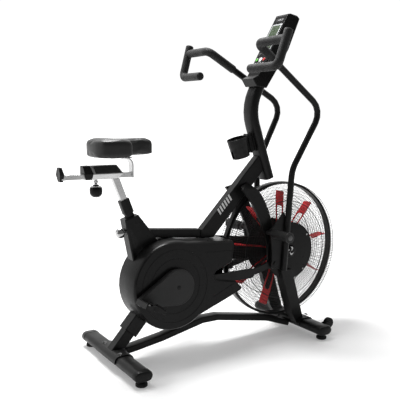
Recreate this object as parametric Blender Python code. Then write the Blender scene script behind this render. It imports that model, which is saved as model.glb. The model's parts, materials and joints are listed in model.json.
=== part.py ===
"""Air bike: a fan-resisted exercise bicycle with swinging arms.

Frame: +X is forward, towards the fan, +Y is the rider's left and +Z is up. The origin is
on the floor, under the middle of the whole machine. Lengths are in metres.
"""

import bmesh
import bpy
from math import atan2, cos, pi, radians, sin, sqrt, tan
from mathutils import Matrix, Vector

# ---- driving dimensions -------------------------------------------------------------------
GAP = 0.0003                    # between pieces that touch

CRANK = (-0.259, 0.340)         # X, Z of the crank's axis
CRANK_LENGTH = 0.170
CRANK_ANGLE = radians(194.0)    # of the right crank, from +X towards +Z
PEDAL = (0.100, 0.026)          # fore-aft and thickness
HOUSING_R = 0.198
HOUSING_RIGHT = -0.110          # outer face of the right shell
HOUSING_LEFT = 0.055
WALL = 0.003

FAN = (0.399, 0.418)            # X, Z of the fan's axis
HOOP_R = 0.330
HOOP_HALF = 0.017
CAGE_RIM = 0.0495               # half the cage's width at its rim
CAGE_HUB = 0.0570               # and beside its hub
SPOKES = 16
HUB_COVER_R = 0.143
BLADES = 9
BLADE_TIP_R = 0.290
BLADE_FORK_R = 0.215
BLADE_SIDES = (-0.0285, 0.0315)  # the blades' edges, right and left

JACK = (-0.015, 0.455)          # X, Z of the jack shaft between the two belts
CRANK_PULLEY_R = 0.085
JACK_SMALL_R = 0.022
JACK_LARGE_R = 0.045
FAN_PULLEY_R = 0.022
BELT = 0.003                    # thickness
BELT_1_Y = -0.043
BELT_2_Y = 0.040
GUARD_SIDES = (0.0335, 0.0465)

PIVOT = (0.263, 0.522)          # X, Z of the arms' pivot
ROD_PIN = (0.288, 0.372)        # X, Z of the lever's pin
SWING = radians(2.6)            # right arm forward and left arm back, from level
ARM_R = 0.0155
GRIP_R = 0.0195
FOAM_START = 0.245              # X where the foam begins
ARM_Y = 0.1205                  # the arms' lower tubes, from the middle plane
ARM_BEND_Y = 0.142
GRIP_Y = 0.335

POST_BASE = (-0.452, 0.722)     # X, Z of a point on the seat post's axis
POST_LEAN = radians(21.0)
POST = (0.030, 0.024)           # fore-aft and side-to-side
POST_TOP = 0.8142               # under the seat guide
SEAT_TUBE = (0.036, 0.030)
KNOB = (-0.574, 0.765)
SLIDER_HALF = 0.019
SLIDER = (0.8175, 0.8375)       # the slider's bottom and top

REAR_X = -0.505                 # stabilisers' middles
FRONT_X = 0.484
STABILISER = (0.080, 0.044)     # fore-aft and height
STABILISER_Z = 0.046
REAR_HALF = 0.292
FRONT_HALF = 0.264
REAR_FOOT_Y = 0.264
FRONT_FOOT_Y = 0.232
LEG_END = (-0.489, 0.080)       # the rear leg's foot
WHEEL = (0.5525, 0.060)         # X, Z of the transport wheels' axle
WHEEL_R = 0.026
WHEEL_Y = 0.205

MAST = (0.048, 0.078)           # fore-aft and side-to-side

FACE = (0.216, 1.2465)          # X, Z of the bottom of the console's face
FACE_TILT = atan2(0.504, 0.863)  # from upright
SCREEN = (0.022, 0.348, 0.042)  # from and to, up the face, and half the width
SCREEN_PLATE = 0.0020
BUTTON_U = 0.107
BUTTONS = (("button_green", 0.028, 0.0085), ("button_white", 0.0, 0.0120), ("button_red", -0.026, 0.0085))

CUP_TOP = (0.1315, 0.968)
CUP_TILT = radians(-16)
CUP_HEIGHT = 0.092

SIDES = ((-1, "right"), (1, "left"))

for item in list(bpy.data.objects):
    bpy.data.objects.remove(item, do_unlink=True)

# ---- materials ----------------------------------------------------------------------------
FINISHES = {
    "frame_black": ((0.018, 0.018, 0.019), 0.50, 0.0),
    "shell_black": ((0.022, 0.022, 0.023), 0.55, 0.0),
    "cap_black": ((0.016, 0.016, 0.017), 0.60, 0.0),
    "foam_grey": ((0.055, 0.055, 0.057), 0.90, 0.0),
    "vinyl_black": ((0.030, 0.030, 0.031), 0.45, 0.0),
    "silver": ((0.56, 0.56, 0.57), 0.32, 1.0),
    "chrome": ((0.75, 0.75, 0.76), 0.12, 1.0),
    "wire_grey": ((0.62, 0.62, 0.63), 0.45, 0.0),
    "blade_red": ((0.42, 0.03, 0.05), 0.40, 0.0),
    "rubber_black": ((0.014, 0.014, 0.014), 0.85, 0.0),
    "belt_black": ((0.020, 0.020, 0.020), 0.75, 0.0),
    "screen_black": ((0.010, 0.010, 0.010), 0.10, 0.0),
    "button_green": ((0.15, 0.55, 0.10), 0.40, 0.0),
    "button_white": ((0.80, 0.80, 0.80), 0.35, 0.0),
    "button_red": ((0.60, 0.05, 0.06), 0.40, 0.0),
}


def finish(slot):
    """The Principled material of a slot, made once."""
    material = bpy.data.materials.get(slot)
    if material is None:
        colour, roughness, metallic = FINISHES[slot]
        material = bpy.data.materials.new(slot)
        material.use_nodes = True
        shader = material.node_tree.nodes["Principled BSDF"]
        shader.inputs["Base Color"].default_value = (*colour, 1.0)
        shader.inputs["Roughness"].default_value = roughness
        shader.inputs["Metallic"].default_value = metallic
    return material


# ---- outlines in the XZ plane -------------------------------------------------------------
def arc(centre, radius, start, end, steps):
    """Points on an arc, from the angle start to the angle end."""
    turn = (end - start) / steps
    return [
        (centre[0] + radius * cos(start + i * turn), centre[1] + radius * sin(start + i * turn))
        for i in range(steps + 1)
    ]


def circle(centre, radius, steps):
    return arc(centre, radius, 0.0, 2 * pi, steps)[:-1]


def hull(c1, r1, c2, r2, steps):
    """Outline of two circles joined by their outer tangents, counter-clockwise."""
    dx, dz = c2[0] - c1[0], c2[1] - c1[1]
    length = sqrt(dx * dx + dz * dz)
    heading = atan2(dz, dx)
    lean = atan2(sqrt(length * length - (r1 - r2) ** 2), r1 - r2)
    big = arc(c1, r1, heading + lean, heading - lean + 2 * pi, steps)
    small = arc(c2, r2, heading - lean, heading + lean, steps)
    return big + small


def stadium(width, height, steps):
    """A flat oval about the origin, its long side along the first axis."""
    r = min(width, height) / 2
    if width >= height:
        half = width / 2 - r
        return arc((half, 0), r, -pi / 2, pi / 2, steps) + arc((-half, 0), r, pi / 2, 1.5 * pi, steps)
    half = height / 2 - r
    return arc((0, half), r, 0, pi, steps) + arc((0, -half), r, pi, 2 * pi, steps)


def rounded_box(width, height, radius, steps):
    """A rectangle about the origin with round corners, counter-clockwise."""
    x, z = width / 2 - radius, height / 2 - radius
    points = []
    for i, centre in enumerate(((x, z), (-x, z), (-x, -z), (x, -z))):
        points += arc(centre, radius, i * pi / 2, (i + 1) * pi / 2, steps)
    return points


def offset(points, distance):
    """A counter-clockwise outline moved inwards by distance."""
    moved = []
    count = len(points)
    for i in range(count):
        before = Vector(points[i - 1])
        here = Vector(points[i])
        after = Vector(points[(i + 1) % count])
        first = (here - before).normalized()
        second = (after - here).normalized()
        n1 = Vector((-first.y, first.x))
        n2 = Vector((-second.y, second.x))
        bisector = n1 + n2
        bisector *= distance / max(0.25, 1.0 + n1.dot(n2))
        moved.append(tuple(here + bisector))
    return moved



def along(start, direction, distance):
    return (start[0] + direction[0] * distance, start[1] + direction[1] * distance)


def bar_outline(start, end, width):
    """A straight bar's four corners."""
    dx, dz = end[0] - start[0], end[1] - start[1]
    length = sqrt(dx * dx + dz * dz)
    side = (-dz / length * width / 2, dx / length * width / 2)
    return [
        (start[0] - side[0], start[1] - side[1]),
        (end[0] - side[0], end[1] - side[1]),
        (end[0] + side[0], end[1] + side[1]),
        (start[0] + side[0], start[1] + side[1]),
    ]


# ---- solids -------------------------------------------------------------------------------
def node(name, mesh, slot, origin=(0.0, 0.0, 0.0)):
    """An object from a bmesh in world coordinates, with its origin where it turns."""
    bmesh.ops.recalc_face_normals(mesh, faces=mesh.faces)
    mesh.transform(Matrix.Translation(-Vector(origin)))
    data = bpy.data.meshes.new(name)
    mesh.to_mesh(data)
    mesh.free()
    data.shade_smooth()
    data.set_sharp_from_angle(angle=radians(35))
    made = bpy.data.objects.new(name, data)
    made.location = origin
    made.data.materials.append(finish(slot))
    bpy.context.scene.collection.objects.link(made)
    return made


def rings(loops):
    """A closed solid through a list of equal loops of 3-D points, flat at both ends."""
    mesh = bmesh.new()
    made = [[mesh.verts.new(p) for p in loop] for loop in loops]
    for one, two in zip(made, made[1:]):
        for i in range(len(one)):
            j = (i + 1) % len(one)
            mesh.faces.new((one[i], one[j], two[j], two[i]))
    mesh.faces.new(made[0][::-1])
    mesh.faces.new(made[-1])
    return mesh


def prism(outline, y0, y1):
    """An XZ outline extruded along Y."""
    return rings([[(x, y, z) for x, z in outline] for y in (y0, y1)])


def chamfered(outline, y0, y1, edge):
    """An XZ outline extruded along Y, with both rims cut back by edge."""
    inner = offset(outline, edge)
    step = edge if y1 > y0 else -edge
    levels = ((inner, y0), (outline, y0 + step), (outline, y1 - step), (inner, y1))
    return rings([[(x, y, z) for x, z in shape] for shape, y in levels])


def rod(centre, radius, y0, y1, steps=20):
    """A round bar along Y."""
    return prism(circle(centre, radius, steps), y0, y1)


def turned_solid(profile, centre, steps):
    """A solid of revolution about an axis along Y; the profile is (radius, y) and closed."""
    mesh = bmesh.new()
    columns = []
    for i in range(steps):
        a = 2 * pi * i / steps
        columns.append(
            [mesh.verts.new((centre[0] + r * cos(a), y, centre[1] + r * sin(a))) for r, y in profile]
        )
    count = len(profile)
    for i in range(steps):
        one, two = columns[i], columns[(i + 1) % steps]
        for j in range(count):
            k = (j + 1) % count
            mesh.faces.new((one[j], one[k], two[k], two[j]))
    return mesh


def stepped(centre, profile, steps):
    """A round bar along Y whose radius changes; the profile is (radius, y)."""
    return rings([[(x, y, z) for x, z in circle(centre, r, steps)] for r, y in profile])


def upright(centre, profile, steps=20):
    """A solid of revolution about a vertical axis; the profile is (radius, z), bottom to top."""
    loops = []
    for r, z in profile:
        loops.append(
            [
                (centre[0] + r * cos(2 * pi * i / steps), centre[1] + r * sin(2 * pi * i / steps), z)
                for i in range(steps)
            ]
        )
    return rings(loops)


def frames(path, first_side):
    """A tangent and two sides at each point of a path, without twist."""
    made = []
    side = Vector(first_side)
    for i, point in enumerate(path):
        before = path[max(i - 1, 0)]
        after = path[min(i + 1, len(path) - 1)]
        tangent = (Vector(after) - Vector(before)).normalized()
        side = (side - tangent * side.dot(tangent)).normalized()
        made.append((Vector(point), tangent, side, tangent.cross(side)))
    return made


def swept(path, section, first_side=(0.0, 1.0, 0.0)):
    """A section carried along a path; its first axis starts along first_side."""
    loops = []
    for point, _, side, up in frames(path, first_side):
        loops.append([tuple(point + side * a + up * b) for a, b in section])
    return rings(loops)


def rounded_path(points, radii, steps):
    """A 3-D polyline whose inner corners are arcs of the given radii."""
    path = [Vector(points[0])]
    for i in range(1, len(points) - 1):
        corner = Vector(points[i])
        back = (Vector(points[i - 1]) - corner).normalized()
        on = (Vector(points[i + 1]) - corner).normalized()
        half = back.angle(on) / 2
        reach = radii[i - 1] / max(1e-6, sin(half)) * cos(half)
        centre = corner + (back + on).normalized() * (radii[i - 1] / sin(half))
        start = corner + back * reach - centre
        end = corner + on * reach - centre
        for k in range(steps + 1):
            path.append(centre + start.slerp(end, k / steps).normalized() * radii[i - 1])
    path.append(Vector(points[-1]))
    return path


def helper(mesh):
    """A hidden object that a Boolean uses once."""
    bmesh.ops.recalc_face_normals(mesh, faces=mesh.faces)
    data = bpy.data.meshes.new("helper")
    mesh.to_mesh(data)
    mesh.free()
    made = bpy.data.objects.new("helper", data)
    bpy.context.scene.collection.objects.link(made)
    return made


def combine(mesh, others, operation):
    """The bmesh after a Boolean with each of the others in turn."""
    base = helper(mesh)
    tools = [helper(other) for other in others]
    for tool in tools:
        step = base.modifiers.new("step", "BOOLEAN")
        step.operation = operation
        step.solver = "EXACT"
        step.object = tool
    bpy.context.view_layer.update()
    graph = bpy.context.evaluated_depsgraph_get()
    result = bmesh.new()
    result.from_object(base, graph)
    for made in [base, *tools]:
        bpy.data.objects.remove(made, do_unlink=True)
    return result


def cut(mesh, *others):
    return combine(mesh, others, "DIFFERENCE")


def joined(mesh, *others):
    return combine(mesh, others, "UNION")


def mirrored(mesh):
    """The same solid on the other side of the middle plane."""
    mesh.transform(Matrix.Scale(-1, 4, (0, 1, 0)))
    bmesh.ops.reverse_faces(mesh, faces=mesh.faces)
    return mesh


def swung(mesh, angle):
    """Turned about the arms' pivot; a positive angle moves the top forward."""
    centre = Vector((PIVOT[0], 0.0, PIVOT[1]))
    turn = Matrix.Translation(centre) @ Matrix.Rotation(angle, 4, "Y") @ Matrix.Translation(-centre)
    mesh.transform(turn)
    return mesh


# ---- stabilisers, feet and wheels ---------------------------------------------------------
def oval(x, grow=0.0):
    """Cross-section of a stabiliser at x."""
    flat = stadium(STABILISER[0] + 2 * grow, STABILISER[1] + 2 * grow, 6)
    return [(x + a, STABILISER_Z + b) for a, b in flat]


def stabiliser(x, half):
    """A flat-oval tube with a plastic cap moulded over each end."""
    cap = ((-0.009, half), (-0.002, half - 0.003), (0.001, half - 0.008), (0.001, half - 0.035))
    levels = [(grow, -y) for grow, y in cap] + [(0.0, 0.0345 - half), (0.0, half - 0.0345)]
    levels += [(grow, y) for grow, y in reversed(cap)]
    return rings([[(a, y, b) for a, b in oval(x, grow)] for grow, y in levels])


def foot_bore(x, y):
    return upright((x, y), [(0.0053, 0.015), (0.0053, 0.048)], 16)


def foot(name, x, y):
    profile = [(0.022, 0.0), (0.025, 0.003), (0.025, 0.012), (0.005, 0.020), (0.005, 0.042)]
    node(name, upright((x, y), profile, 16), "rubber_black", (x, y, 0.021))


def saddle_bracket(x, y0, y1):
    """A curved plate over a stabiliser's top."""
    def upper(grow):
        reach = STABILISER[1] / 2 + grow
        half = (STABILISER[0] - STABILISER[1]) / 2
        start = arc((x + half, STABILISER_Z), reach, radians(-10), radians(90), 6)
        return start + arc((x - half, STABILISER_Z), reach, radians(90), radians(190), 6)
    return prism(upper(0.0053) + upper(GAP)[::-1], y0, y1)


rear = stabiliser(REAR_X, REAR_HALF)
rear = cut(rear, *[foot_bore(REAR_X, side * REAR_FOOT_Y) for side in (-1, 1)])
node("rear_stabilizer", rear, "frame_black")

front = stabiliser(FRONT_X, FRONT_HALF)
brackets = []
for side in (-1, 1):
    for edge in (-0.0145, 0.0115):
        ear = hull((FRONT_X + 0.034, 0.050), 0.012, WHEEL, 0.011, 4)
        y = side * WHEEL_Y + edge
        brackets.append(prism(ear, y, y + 0.003))
    brackets.append(rod(WHEEL, 0.004, side * WHEEL_Y - 0.013, side * WHEEL_Y + 0.013, 12))
front = joined(front, *brackets)
front = cut(front, *[foot_bore(FRONT_X, side * FRONT_FOOT_Y) for side in (-1, 1)])
node("front_stabilizer", front, "frame_black")

for side, label in SIDES:
    foot("rear_foot_" + label, REAR_X, side * REAR_FOOT_Y)
    foot("front_foot_" + label, FRONT_X, side * FRONT_FOOT_Y)
    y = side * WHEEL_Y
    half = 0.0105
    tread = [(0.0044, y - half), (0.024, y - half), (WHEEL_R, y - half + 0.002)]
    tread += [(WHEEL_R, y + half - 0.002), (0.024, y + half), (0.0044, y + half)]
    node("wheel_" + label, turned_solid(tread, WHEEL, 20), "cap_black", (WHEEL[0], y, WHEEL[1]))

# ---- the frame's tubes --------------------------------------------------------------------
leg_length = sqrt((LEG_END[0] - CRANK[0]) ** 2 + (LEG_END[1] - CRANK[1]) ** 2)
LEG_WAY = ((LEG_END[0] - CRANK[0]) / leg_length, (LEG_END[1] - CRANK[1]) / leg_length)
SEAT_WAY = (-sin(POST_LEAN), cos(POST_LEAN))
PIN_WAY = (-cos(POST_LEAN), -sin(POST_LEAN))
PIN_BASE = along(POST_BASE, SEAT_WAY, -0.126)


def seat_section(start, end, size, grow=0.0, corner=0.004):
    """A length of rectangular tube along the seat's axis, measured from POST_BASE."""
    ends = [along(POST_BASE, SEAT_WAY, s) for s in (start, end)]
    section = rounded_box(size[1] + 2 * grow, size[0] + 2 * grow, corner, 2)
    return swept([(x, 0.0, z) for x, z in ends], section)


def seat_pin(profile, steps):
    """A solid of revolution along the seat pin, from (radius, distance from the tube's axis)."""
    mesh = upright((0.0, 0.0), profile, steps)
    way = Vector((PIN_WAY[0], 0.0, PIN_WAY[1]))
    turn = Vector((0.0, 0.0, 1.0)).rotation_difference(way).to_matrix().to_4x4()
    mesh.transform(Matrix.Translation((PIN_BASE[0], 0.0, PIN_BASE[1])) @ turn)
    return mesh


def leg_space():
    """The room the rear leg takes up in the pieces around it."""
    ends = [along(CRANK, LEG_WAY, s) for s in (0.10, 0.40)]
    return prism(bar_outline(*ends, 0.0506), -0.0253, 0.0253)


def seat_space():
    return seat_section(-0.428, 0.0, SEAT_TUBE, GAP)


leg = chamfered(bar_outline(CRANK, along(CRANK, LEG_WAY, 0.42), 0.050), -0.025, 0.025, 0.003)
below = prism([(-0.70, -0.10), (-0.30, -0.10), (-0.30, 0.0722), (-0.70, 0.0722)], -0.05, 0.05)
leg = cut(leg, below, rod(CRANK, 0.0303, -0.05, 0.05, 28), seat_space())
node("rear_leg", joined(leg, saddle_bracket(REAR_X, -0.10, 0.10)), "frame_black")

shroud_line = bar_outline(along(CRANK, LEG_WAY, 0.188), along(CRANK, LEG_WAY, 0.274), 0.066)
shroud = chamfered(shroud_line, -0.033, 0.033, 0.003)
shroud = cut(shroud, leg_space(), rod(CRANK, HOUSING_R + GAP, -0.05, 0.05, 96))
node("lower_shroud", shroud, "shell_black")

rail_line = [(-0.456, 0.0565), (-0.400, 0.064), (-0.280, 0.082), (-0.066, 0.128), (0.020, 0.128)]
rail_line += [(0.317, 0.0735), (0.452, 0.025)]
rail_path = rounded_path([(x, 0.0, z) for x, z in rail_line], [0.15, 0.3, 0.06, 0.06, 0.2], 3)
rail = swept(rail_path, rounded_box(0.050, 0.030, 0.004, 2))
node("base_rail", cut(rail, prism(oval(FRONT_X, GAP), -0.05, 0.05)), "frame_black")

tube = joined(seat_section(-0.425, -0.0045, SEAT_TUBE), rod(CRANK, 0.030, -0.035, 0.035, 28))
tube = cut(tube, rod(CRANK, 0.0115, -0.05, 0.05, 20), seat_section(-0.31, 0.02, POST, GAP, 0.001))
tube = cut(tube, seat_pin([(0.0053, 0.0), (0.0053, 0.05)], 16))
node("seat_tube", tube, "frame_black")

sleeve = seat_section(-0.0645, -0.0005, (0.044, 0.035))
post_bore = seat_section(-0.05, 0.02, POST, GAP, 0.001)
sleeve = cut(sleeve, seat_section(-0.08, -0.0042, SEAT_TUBE, GAP), post_bore)
node("clamp_sleeve", sleeve, "cap_black")


def before_seat_tube(z):
    """X just in front of the seat tube at a height."""
    axis = POST_BASE[0] + (POST_BASE[1] - z) * tan(POST_LEAN)
    return axis + SEAT_TUBE[0] / 2 / cos(POST_LEAN) + 2 * GAP


TOP_TUBE = [(before_seat_tube(0.550), 0.550), (-0.0785, 0.5225), (-0.0785, 0.5620)]
TOP_TUBE += [(before_seat_tube(0.5905), 0.5905)]
node("top_tube", chamfered(TOP_TUBE, -0.0225, 0.0225, 0.003), "frame_black")

cover_line = [(-0.457, 0.635), (-0.422, 0.455), (-0.300, 0.480), (-0.297, 0.526), (-0.341, 0.588)]
cover = chamfered(cover_line + [(-0.393, 0.654)], -0.029, 0.029, 0.004)
cover = cut(
    cover,
    seat_section(-0.40, 0.05, SEAT_TUBE, GAP),
    prism(offset(TOP_TUBE, -GAP), -0.0228, 0.0228),
    rod(CRANK, HOUSING_R + GAP, -0.05, 0.05, 96),
    seat_pin([(0.0085, 0.0), (0.0085, 0.09)], 16),
)
node("seat_shroud", cover, "shell_black")


def mast(grow=0.0, top=1.218):
    """The upright that carries the console, bent forward at both ends."""
    head = (0.247 + 0.515 * (top - 1.206), top)
    line = [head, (0.1987, 1.112), (0.254, 0.951), (0.314, 0.775)]
    path = rounded_path([(x, 0.0, z) for x, z in line], [0.20, 0.30], 5)
    return swept(path, rounded_box(MAST[1] + 2 * grow, MAST[0] + 2 * grow, 0.018 + grow, 3))


node("mast", mast(), "frame_black")

DIAGONAL = [(-0.078, 0.5195), (-0.006, 0.5155), (0.300, 0.838), (0.280, 0.9185), (-0.067, 0.558)]
DIAGONAL += [(-0.078, 0.5605)]
diagonal = chamfered(DIAGONAL, -0.0225, 0.0225, 0.003)
stay = prism(bar_outline((0.083, 0.502), (0.172, 0.698), 0.030), -0.012, 0.012)
stay = cut(stay, rod(FAN, HOOP_R + 0.0068, -0.02, 0.02, 48))
node("diagonal_tube", cut(joined(diagonal, stay), mast(GAP)), "frame_black")

# ---- the front fork and legs --------------------------------------------------------------
FORK = [(0.118, 0.735), (0.171, 0.671), (0.206, 0.611), (0.231, 0.561), (0.256, 0.495)]
FORK += [(0.272, 0.435), (0.298, 0.352), (0.338, 0.3315), (0.402, 0.3315)]
FORK += arc(FAN, 0.050, radians(-50), radians(110), 10)
FORK += [(0.298, 0.506), (0.288, 0.570), (0.275, 0.615), (0.253, 0.665), (0.228, 0.705), (0.199, 0.735)]
FORK_TOP = [(0.118, 0.735), (0.171, 0.671), (0.228, 0.705), (0.199, 0.735)]
FORK_ROOT = [(0.143, 0.745), (0.162, 0.722), (0.199, 0.748), (0.180, 0.764)]
LEG = [(0.334, 0.3295), (0.4065, 0.104), (0.436, 0.050), (0.484, 0.050), (0.469, 0.095), (0.400, 0.3295)]


def fork():
    """The right-hand plate from the diagonal tube down to the fan's axle."""
    shoulder = rings(
        [[(x, -0.0228, z) for x, z in FORK_ROOT], [(x, -0.078, z) for x, z in FORK_TOP]]
    )
    return cut(joined(prism(FORK, -0.078, -0.062), shoulder), rod(FAN, 0.0083, -0.10, -0.05, 16))


def leg_bar(grow=0.0):
    """The right-hand leg, its rear edge slanting outwards."""
    outline = offset(LEG, -grow)
    inner = [(x - 0.010, z) if i < 2 else (x, z) for i, (x, z) in enumerate(outline)]
    return rings(
        [[(x, -0.1035 - grow, z) for x, z in outline], [(x, -0.060 + grow, z) for x, z in inner]]
    )


def front_leg():
    bar = joined(leg_bar(), saddle_bracket(FRONT_X, -0.118, -0.048))
    return cut(bar, prism(oval(FRONT_X, GAP), -0.15, 0.0))


def hub_cover():
    """A dished disc over the hub, with a raised roundel, cut away around the leg."""
    profile = [(HUB_COVER_R - 0.003, -0.080), (HUB_COVER_R, -0.083), (HUB_COVER_R - 0.004, -0.0865)]
    profile += [(0.100, -0.088), (0.031, -0.088), (0.030, -0.0892)]
    return cut(stepped(FAN, profile, 28), leg_bar(0.0008))


node("fork_right", fork(), "frame_black")
node("fork_left", mirrored(fork()), "frame_black")
node("leg_right", front_leg(), "frame_black")
node("leg_left", mirrored(front_leg()), "frame_black")
node("hub_cover_right", hub_cover(), "shell_black")
node("hub_cover_left", mirrored(hub_cover()), "shell_black")
node("fan_axle", rod(FAN, 0.008, -0.0795, 0.0795, 16), "silver")


def guard_hull(grow, y0, y1, start):
    """The belt guard's outside, from X = start forward."""
    outline = hull(JACK, 0.064 + grow, FAN, 0.046 + grow, 10)
    behind = prism([(-0.3, 0.0), (start, 0.0), (start, 1.0), (-0.3, 1.0)], 0.0, 0.1)
    return cut(prism(outline, y0, y1), behind)


def guard_space(grow):
    return guard_hull(grow, GUARD_SIDES[0] - grow, GUARD_SIDES[1] + grow, 0.035)


def cage():
    """The right-hand fan guard: a shallow dish of rings and spokes."""
    rim = [(0.3315, -0.0173), (0.3315, -0.0505), (0.3180, -0.0515), (0.3180, -0.0500)]
    rim += [(0.3300, -0.0490), (0.3300, -0.0173)]
    slope = (CAGE_HUB - CAGE_RIM) / 0.22
    parts = []
    radius = 0.215
    y = -CAGE_HUB + (radius - 0.10) * slope
    band = [(radius + 0.003, y), (radius + 0.003, y + 0.0016), (radius - 0.003, y + 0.0016)]
    parts.append(turned_solid(band + [(radius - 0.003, y)], FAN, 24))
    collar = [(0.105, -CAGE_HUB), (0.105, -CAGE_HUB + 0.0016), (0.052, -CAGE_HUB + 0.0016)]
    parts.append(turned_solid(collar + [(0.052, -CAGE_HUB)], FAN, 18))
    for k in range(SPOKES):
        ends = ((0.100, -CAGE_HUB), (0.325, -CAGE_RIM - 0.0012))
        section = ((0.0, -0.0015), (0.0015, -0.0015), (0.0015, 0.0015), (0.0, 0.0015))
        spoke = rings([[(r, y + thick, side) for thick, side in section] for r, y in ends])
        turn = Matrix.Rotation(-2 * pi * (k + 0.5) / SPOKES, 4, "Y")
        spoke.transform(Matrix.Translation((FAN[0], 0.0, FAN[1])) @ turn)
        parts.append(spoke)
    return joined(turned_solid(rim, FAN, 40), *parts)


node("cage_right", cage(), "wire_grey")
node("cage_left", cut(mirrored(cage()), guard_space(0.0008)), "wire_grey")
hoop = [(0.3240, -HOOP_HALF), (0.3360, -HOOP_HALF), (0.3360, HOOP_HALF), (0.3240, HOOP_HALF)]
node("fan_hoop", turned_solid(hoop, FAN, 40), "frame_black")

# ---- the fan and the two-stage belt drive -------------------------------------------------
low, high = BLADE_SIDES
BLADE = [(0.024, low + 0.012), (BLADE_FORK_R, low), (BLADE_TIP_R - 0.006, low)]
BLADE += [(BLADE_TIP_R, low + 0.006), (BLADE_TIP_R, high - 0.006), (BLADE_TIP_R - 0.006, high)]
BLADE += [(BLADE_FORK_R, high), (0.024, high - 0.012), (0.024, high - 0.021)]
BLADE += [(BLADE_FORK_R - 0.010, high - 0.010), (BLADE_FORK_R, high - 0.016)]
BLADE += [(BLADE_FORK_R, low + 0.016), (BLADE_FORK_R - 0.010, low + 0.010), (0.024, low + 0.021)]

hub = [(0.030, -0.030), (0.030, 0.0325), (0.018, 0.0325), (0.018, 0.0355)]
hub += [(FAN_PULLEY_R, 0.0355), (FAN_PULLEY_R, 0.0440)]
blades = []
for k in range(BLADES):
    blade = rings([[(r, y, t) for r, y in BLADE] for t in (-0.001, 0.001)])
    turn = Matrix.Rotation(-(pi / 2 + 2 * pi * k / BLADES), 4, "Y")
    blade.transform(Matrix.Translation((FAN[0], 0.0, FAN[1])) @ turn)
    blades.append(blade)
rotor = cut(joined(stepped(FAN, hub, 20), *blades), rod(FAN, 0.0083, -0.05, 0.05, 16))
node("fan_rotor", rotor, "blade_red", (FAN[0], 0.0, FAN[1]))

jack = [(0.006, -0.050), (0.006, BELT_1_Y - 0.005), (JACK_SMALL_R, BELT_1_Y - 0.005)]
jack += [(JACK_SMALL_R, BELT_1_Y + 0.005), (0.006, BELT_1_Y + 0.005), (0.006, BELT_2_Y - 0.004)]
jack += [(JACK_LARGE_R, BELT_2_Y - 0.004), (JACK_LARGE_R, BELT_2_Y + 0.004)]
jack += [(0.006, BELT_2_Y + 0.004), (0.006, 0.0505)]
node("jack_pulley", stepped(JACK, jack, 20), "cap_black", (JACK[0], 0.0, JACK[1]))

axle = [(0.0075, -0.137), (0.0075, BELT_1_Y - 0.005), (CRANK_PULLEY_R, BELT_1_Y - 0.005)]
axle += [(CRANK_PULLEY_R, BELT_1_Y + 0.005), (0.0075, BELT_1_Y + 0.005), (0.0075, 0.137)]
eccentric = rod(along(CRANK, (1.0, 0.0), 0.018), 0.030, -0.082, -0.070, 20)
axle = joined(stepped(CRANK, axle, 28), eccentric)
node("crank_pulley", axle, "cap_black", (CRANK[0], 0.0, CRANK[1]))


def belt(c1, r1, c2, r2, y, half):
    """A closed flat belt round two pulleys."""
    r1 = 1.015 * r1 + GAP
    r2 = 1.015 * r2 + GAP
    outer = prism(hull(c1, r1 + BELT, c2, r2 + BELT, 12), y - half, y + half)
    return cut(outer, prism(hull(c1, r1, c2, r2, 12), y - 0.02, y + 0.02))


belt_1 = belt(CRANK, CRANK_PULLEY_R, JACK, JACK_SMALL_R, BELT_1_Y, 0.0035)
node("drive_belt_1", belt_1, "belt_black")
belt_2 = belt(JACK, JACK_LARGE_R, FAN, FAN_PULLEY_R, BELT_2_Y, 0.0030)
node("drive_belt_2", belt_2, "belt_black")

guard = guard_hull(0.0, *GUARD_SIDES, 0.045)
inside = prism(hull(JACK, 0.0625, FAN, 0.0445, 10), GUARD_SIDES[0] + 0.0015, GUARD_SIDES[1] - 0.0015)
guard = cut(guard, inside, rod(FAN, 0.034, 0.03, 0.036, 28), rod(FAN, 0.0105, 0.04, 0.05, 20))
node("belt_guard", guard, "shell_black")

# ---- the drive's housing ------------------------------------------------------------------
ROUND = arc(CRANK, HOUSING_R, radians(72), radians(308.7), 28)
TIP = [(0.066, 0.258), (0.092, 0.270), (0.100, 0.284)]
BROW = [(0.055, 0.495), (0.050, 0.506), (0.040, 0.5105)]
NOTCH = [(0.066, 0.318), (-0.044, 0.341), (-0.055, 0.358), (-0.046, 0.373), (0.043, 0.410)]
RIGHT_SHELL = ROUND + TIP + NOTCH + BROW
LEFT_SHELL = ROUND + TIP + [(0.060, 0.330), (0.054, 0.418)] + BROW


def shell_levels(outline, levels):
    return rings([[(x, y, z) for x, z in offset(outline, inset)] for inset, y in levels])


def face_groove(radius):
    """A shallow ring groove in the right face, 3 mm wide."""
    y = HOUSING_RIGHT
    band = [(radius - 0.0015, y - 0.0015), (radius + 0.0015, y - 0.0015)]
    band += [(radius + 0.0015, y + 0.0015), (radius - 0.0015, y + 0.0015)]
    return turned_solid(band, CRANK, 36)


def line_groove(start, end):
    outline = bar_outline(start, end, 0.003)
    return prism(outline, HOUSING_RIGHT - 0.002, HOUSING_RIGHT + 0.0015)


def around_fan():
    return rod(FAN, HOOP_R + 0.0085, -0.053, 0.060, 48)


def rod_passage(x0, x1, y0, y1):
    """The slot that a pushrod comes out through."""
    return prism([(x0, 0.300), (x1, 0.300), (x1, 0.384), (x0, 0.384)], y0, y1)


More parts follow.
